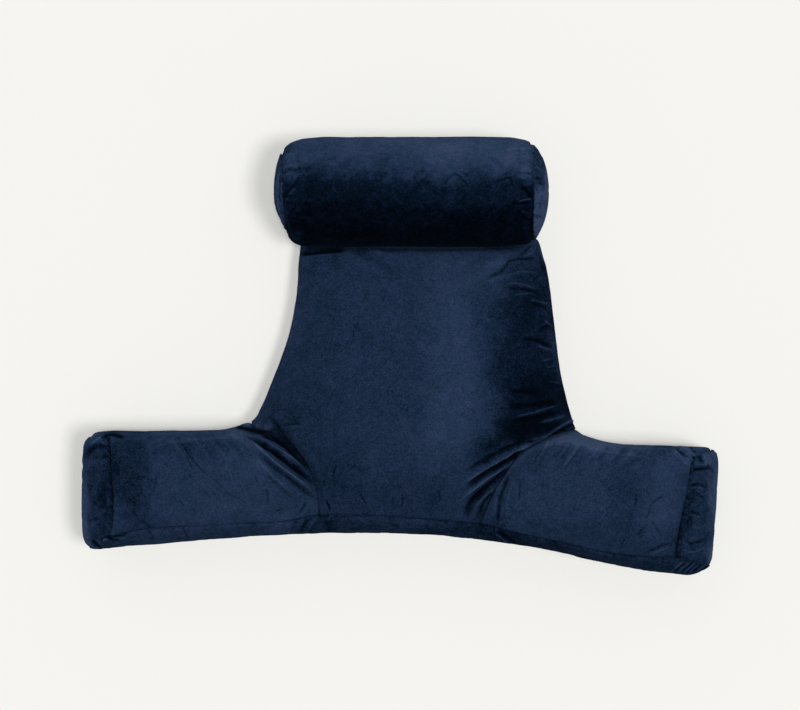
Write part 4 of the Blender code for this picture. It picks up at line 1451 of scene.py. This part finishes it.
# %% A socket that can be calculated with
class Signal:
    """A socket of a node tree that takes part in Python arithmetic."""

    def __init__(self, tree, socket):
        self.tree = tree
        self.socket = socket

    def node(self, kind, settings=None, **values):
        """Add a node; its settings come first, then its sockets' values or links.

        A socket goes by its name, with _ for each space, or by its place, as in _0.
        """
        made = self.tree.nodes.new(kind)
        for name, value in (settings or {}).items():
            if name == "stops":
                elements = made.color_ramp.elements
                while len(elements) < len(value):
                    elements.new(1.0)
                for element, (position, colour) in zip(elements, value):
                    element.position = position
                    element.color = (*colour, 1.0)
            else:
                setattr(made, name, value)
        for name, value in values.items():
            place = int(name[1:]) if name[1:].isdigit() else name.replace("_", " ")
            socket = made.inputs[place]
            if isinstance(value, Signal):
                self.tree.links.new(value.socket, socket)
            else:
                socket.default_value = value
        return made

    def out(self, made, name=0):
        return Signal(self.tree, made.outputs[name])

    def math(self, operation, first, second=0.0):
        return self.out(self.node("ShaderNodeMath", {"operation": operation}, _0=first, _1=second))

    def __add__(self, other):
        return self.math("ADD", self, other)

    def __radd__(self, other):
        return self.math("ADD", other, self)

    def __sub__(self, other):
        return self.math("SUBTRACT", self, other)

    def __rsub__(self, other):
        return self.math("SUBTRACT", other, self)

    def __mul__(self, other):
        return self.math("MULTIPLY", self, other)

    def __rmul__(self, other):
        return self.math("MULTIPLY", other, self)

    def size_of(self):
        return self.math("ABSOLUTE", self)

    def step(self, low, high):
        """0 below low, 1 above high (or the other way round), with a soft slope."""
        made = self.node("ShaderNodeMapRange", {"interpolation_type": "SMOOTHSTEP"},
                         Value=self, From_Min=low, From_Max=high)
        return self.out(made)

    def lumps(self, size, detail=2.0, distortion=0.0):
        """Noise at this place (a vector socket), from -1 to 1, with lumps of a size in metres."""
        made = self.node("ShaderNodeTexNoise", Vector=self, Scale=1.0 / size, Detail=detail,
                         Distortion=distortion)
        return self.out(made, "Fac") * 2.0 - 1.0


# %% [markdown]
# ## Velvet
# Velvet has no print and hardly any gloss. The colour comes from the shade that the folds and
# patches gave each point, which is painted light and shade for the most part, plus three sizes of
# unevenness: soft clouds, a mottling of brushed pile and a fine grain. Here and there the pile is
# creased into a thin feathery line. A weak bluish sheen brightens what is seen at a slant.

# %% Make the velvet
# Colours for the velvet's tone, which holds painted light and shade as well as the pile's own
# unevenness.
PILE_AND_SHADE_COLOURS = [
    # shade, colour (linear RGB)
    (0.00, (0.0007, 0.0016, 0.0036)),
    (0.25, (0.0024, 0.0066, 0.0165)),
    (0.50, (0.0100, 0.0214, 0.0485)),
    (0.75, (0.0205, 0.0370, 0.0795)),
    (1.00, (0.0390, 0.0620, 0.1200)),
]
CLOUD_SIZE = 0.040
MOTTLE_SIZE = 0.013
SPECK_SIZE = 0.0042
GRAIN_SIZE = 0.0020
CREASE_SIZE = 0.034
CREASE_WIDTH = 0.035
CREASED = (0.20, 0.35)        # noise below which there is no crease, and above which it is whole
MIDDLE_TONE = 0.52            # of plain velvet, on the scale of the pile's colours
SPECKS = 0.12                 # how much the specks change the tone
TEAL = (0.95, 1.035, 0.99, 1.0)                # tints of the pile lying one way and the other
VIOLET = (1.06, 0.98, 1.02, 1.0)


def velvet(name, clouds=0.10, mottle=0.16, grain=0.34, creases=0.16):
    material = bpy.data.materials.new(name)
    material.use_nodes = True
    tree = material.node_tree
    shader = tree.nodes["Principled BSDF"]
    place = Signal(tree, tree.nodes.new("ShaderNodeTexCoord").outputs["Object"])
    shade = place.out(place.node("ShaderNodeAttribute", {"attribute_name": "shade"}), "Fac")

    cloud = place.lumps(CLOUD_SIZE, detail=4.0, distortion=1.0)
    mottling = place.lumps(MOTTLE_SIZE, detail=4.0, distortion=1.2)
    grains = place.lumps(GRAIN_SIZE, detail=2.0)
    specks = place.lumps(SPECK_SIZE, detail=2.0)
    line = place.lumps(CREASE_SIZE, detail=1.0, distortion=0.6).size_of().step(CREASE_WIDTH, 0.0)
    crease = line * place.lumps(CREASE_SIZE * 0.8, detail=1.0).step(*CREASED)
    tone = (MIDDLE_TONE + shade + cloud * clouds + mottling * mottle + specks * SPECKS
            + grains * grain - crease * creases)
    colour = place.node("ShaderNodeValToRGB", {"stops": PILE_AND_SHADE_COLOURS}, Fac=tone)
    # Which way the pile lies, 0 or 1 with soft borders, along the clouds and the mottling.
    way = (cloud * 0.8 + mottling * 1.2 + 0.5).step(0.1, 0.9)
    tint = place.node("ShaderNodeMix", {"data_type": "RGBA"}, _0=way, _6=TEAL, _7=VIOLET)
    tinted = place.node("ShaderNodeVectorMath", {"operation": "MULTIPLY"},
                        _0=place.out(colour), _1=place.out(tint, 2))
    tree.links.new(tinted.outputs[0], shader.inputs["Base Color"])

    height = grains * 0.5 + specks * 0.4 - crease * 0.8
    bump = place.node("ShaderNodeBump", Height=height, Strength=0.5, Distance=0.0006)
    tree.links.new(bump.outputs["Normal"], shader.inputs["Normal"])
    rough = 0.86 + grains * 0.06
    tree.links.new(rough.socket, shader.inputs["Roughness"])
    shader.inputs["Specular IOR Level"].default_value = 0.0
    shader.inputs["Sheen Weight"].default_value = 0.012
    shader.inputs["Sheen Roughness"].default_value = 0.5
    shader.inputs["Sheen Tint"].default_value = (0.35, 0.60, 1.0, 1.0)
    print(name, "has", len(tree.nodes), "nodes")
    return material


panel_velvet = velvet("panel velvet", creases=0.11)
gusset_velvet = velvet("gusset velvet", mottle=0.22)
roll_velvet = velvet("roll velvet", clouds=0.14, mottle=0.18, grain=0.26)

# %% [markdown]
# ## Dress the pieces
# Every piece rides on the model's one body, takes its velvet and hides the imported solid that it
# stands for. The tables also list each piece's slot, the cushions' fill and the sheets' cut size,
# which are not used here.

CUSHION_FACTS = [
    # piece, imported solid, slot, velvet, fill
    (backrest, "backrest", "panel_velvet", panel_velvet, 0.7),
    (arm_left, "arm_left", "panel_velvet", panel_velvet, 0.75),
    (arm_right, "arm_right", "panel_velvet", panel_velvet, 0.75),
    (neck_roll, "neck_roll", "roll_velvet", roll_velvet, 0.8),
]
SHEET_FACTS = [
    # piece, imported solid, slot, velvet, width and length as cut, flat area, filling behind it
    (bottom_gusset, "bottom_gusset", "gusset_velvet", gusset_velvet, (0.92, 0.132), 0.1180,
     [backrest, arm_left, arm_right]),
    (end_left, "end_panel_left", "gusset_velvet", gusset_velvet, (0.168, 0.135), 0.0220, [arm_left]),
    (end_right, "end_panel_right", "gusset_velvet", gusset_velvet, (0.172, 0.138), 0.0230, [arm_right]),
    (roll_left, "roll_end_left", "roll_velvet", roll_velvet, (0.112, 0.112), 0.0098, [neck_roll]),
    (roll_right, "roll_end_right", "roll_velvet", roll_velvet, (0.140, 0.140), 0.0154, [neck_roll]),
]


def dress(piece, node, material):
    piece.data.materials.clear()
    piece.data.materials.append(material)
    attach(piece, "root")
    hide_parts(node)


for piece, node, slot, material, fill in CUSHION_FACTS:
    dress(piece, node, material)
for piece, node, slot, material, flat, area, behind in SHEET_FACTS:
    dress(piece, node, material)
print("declared:", len(CUSHION_FACTS), "cushions and", len(SHEET_FACTS), "sheets")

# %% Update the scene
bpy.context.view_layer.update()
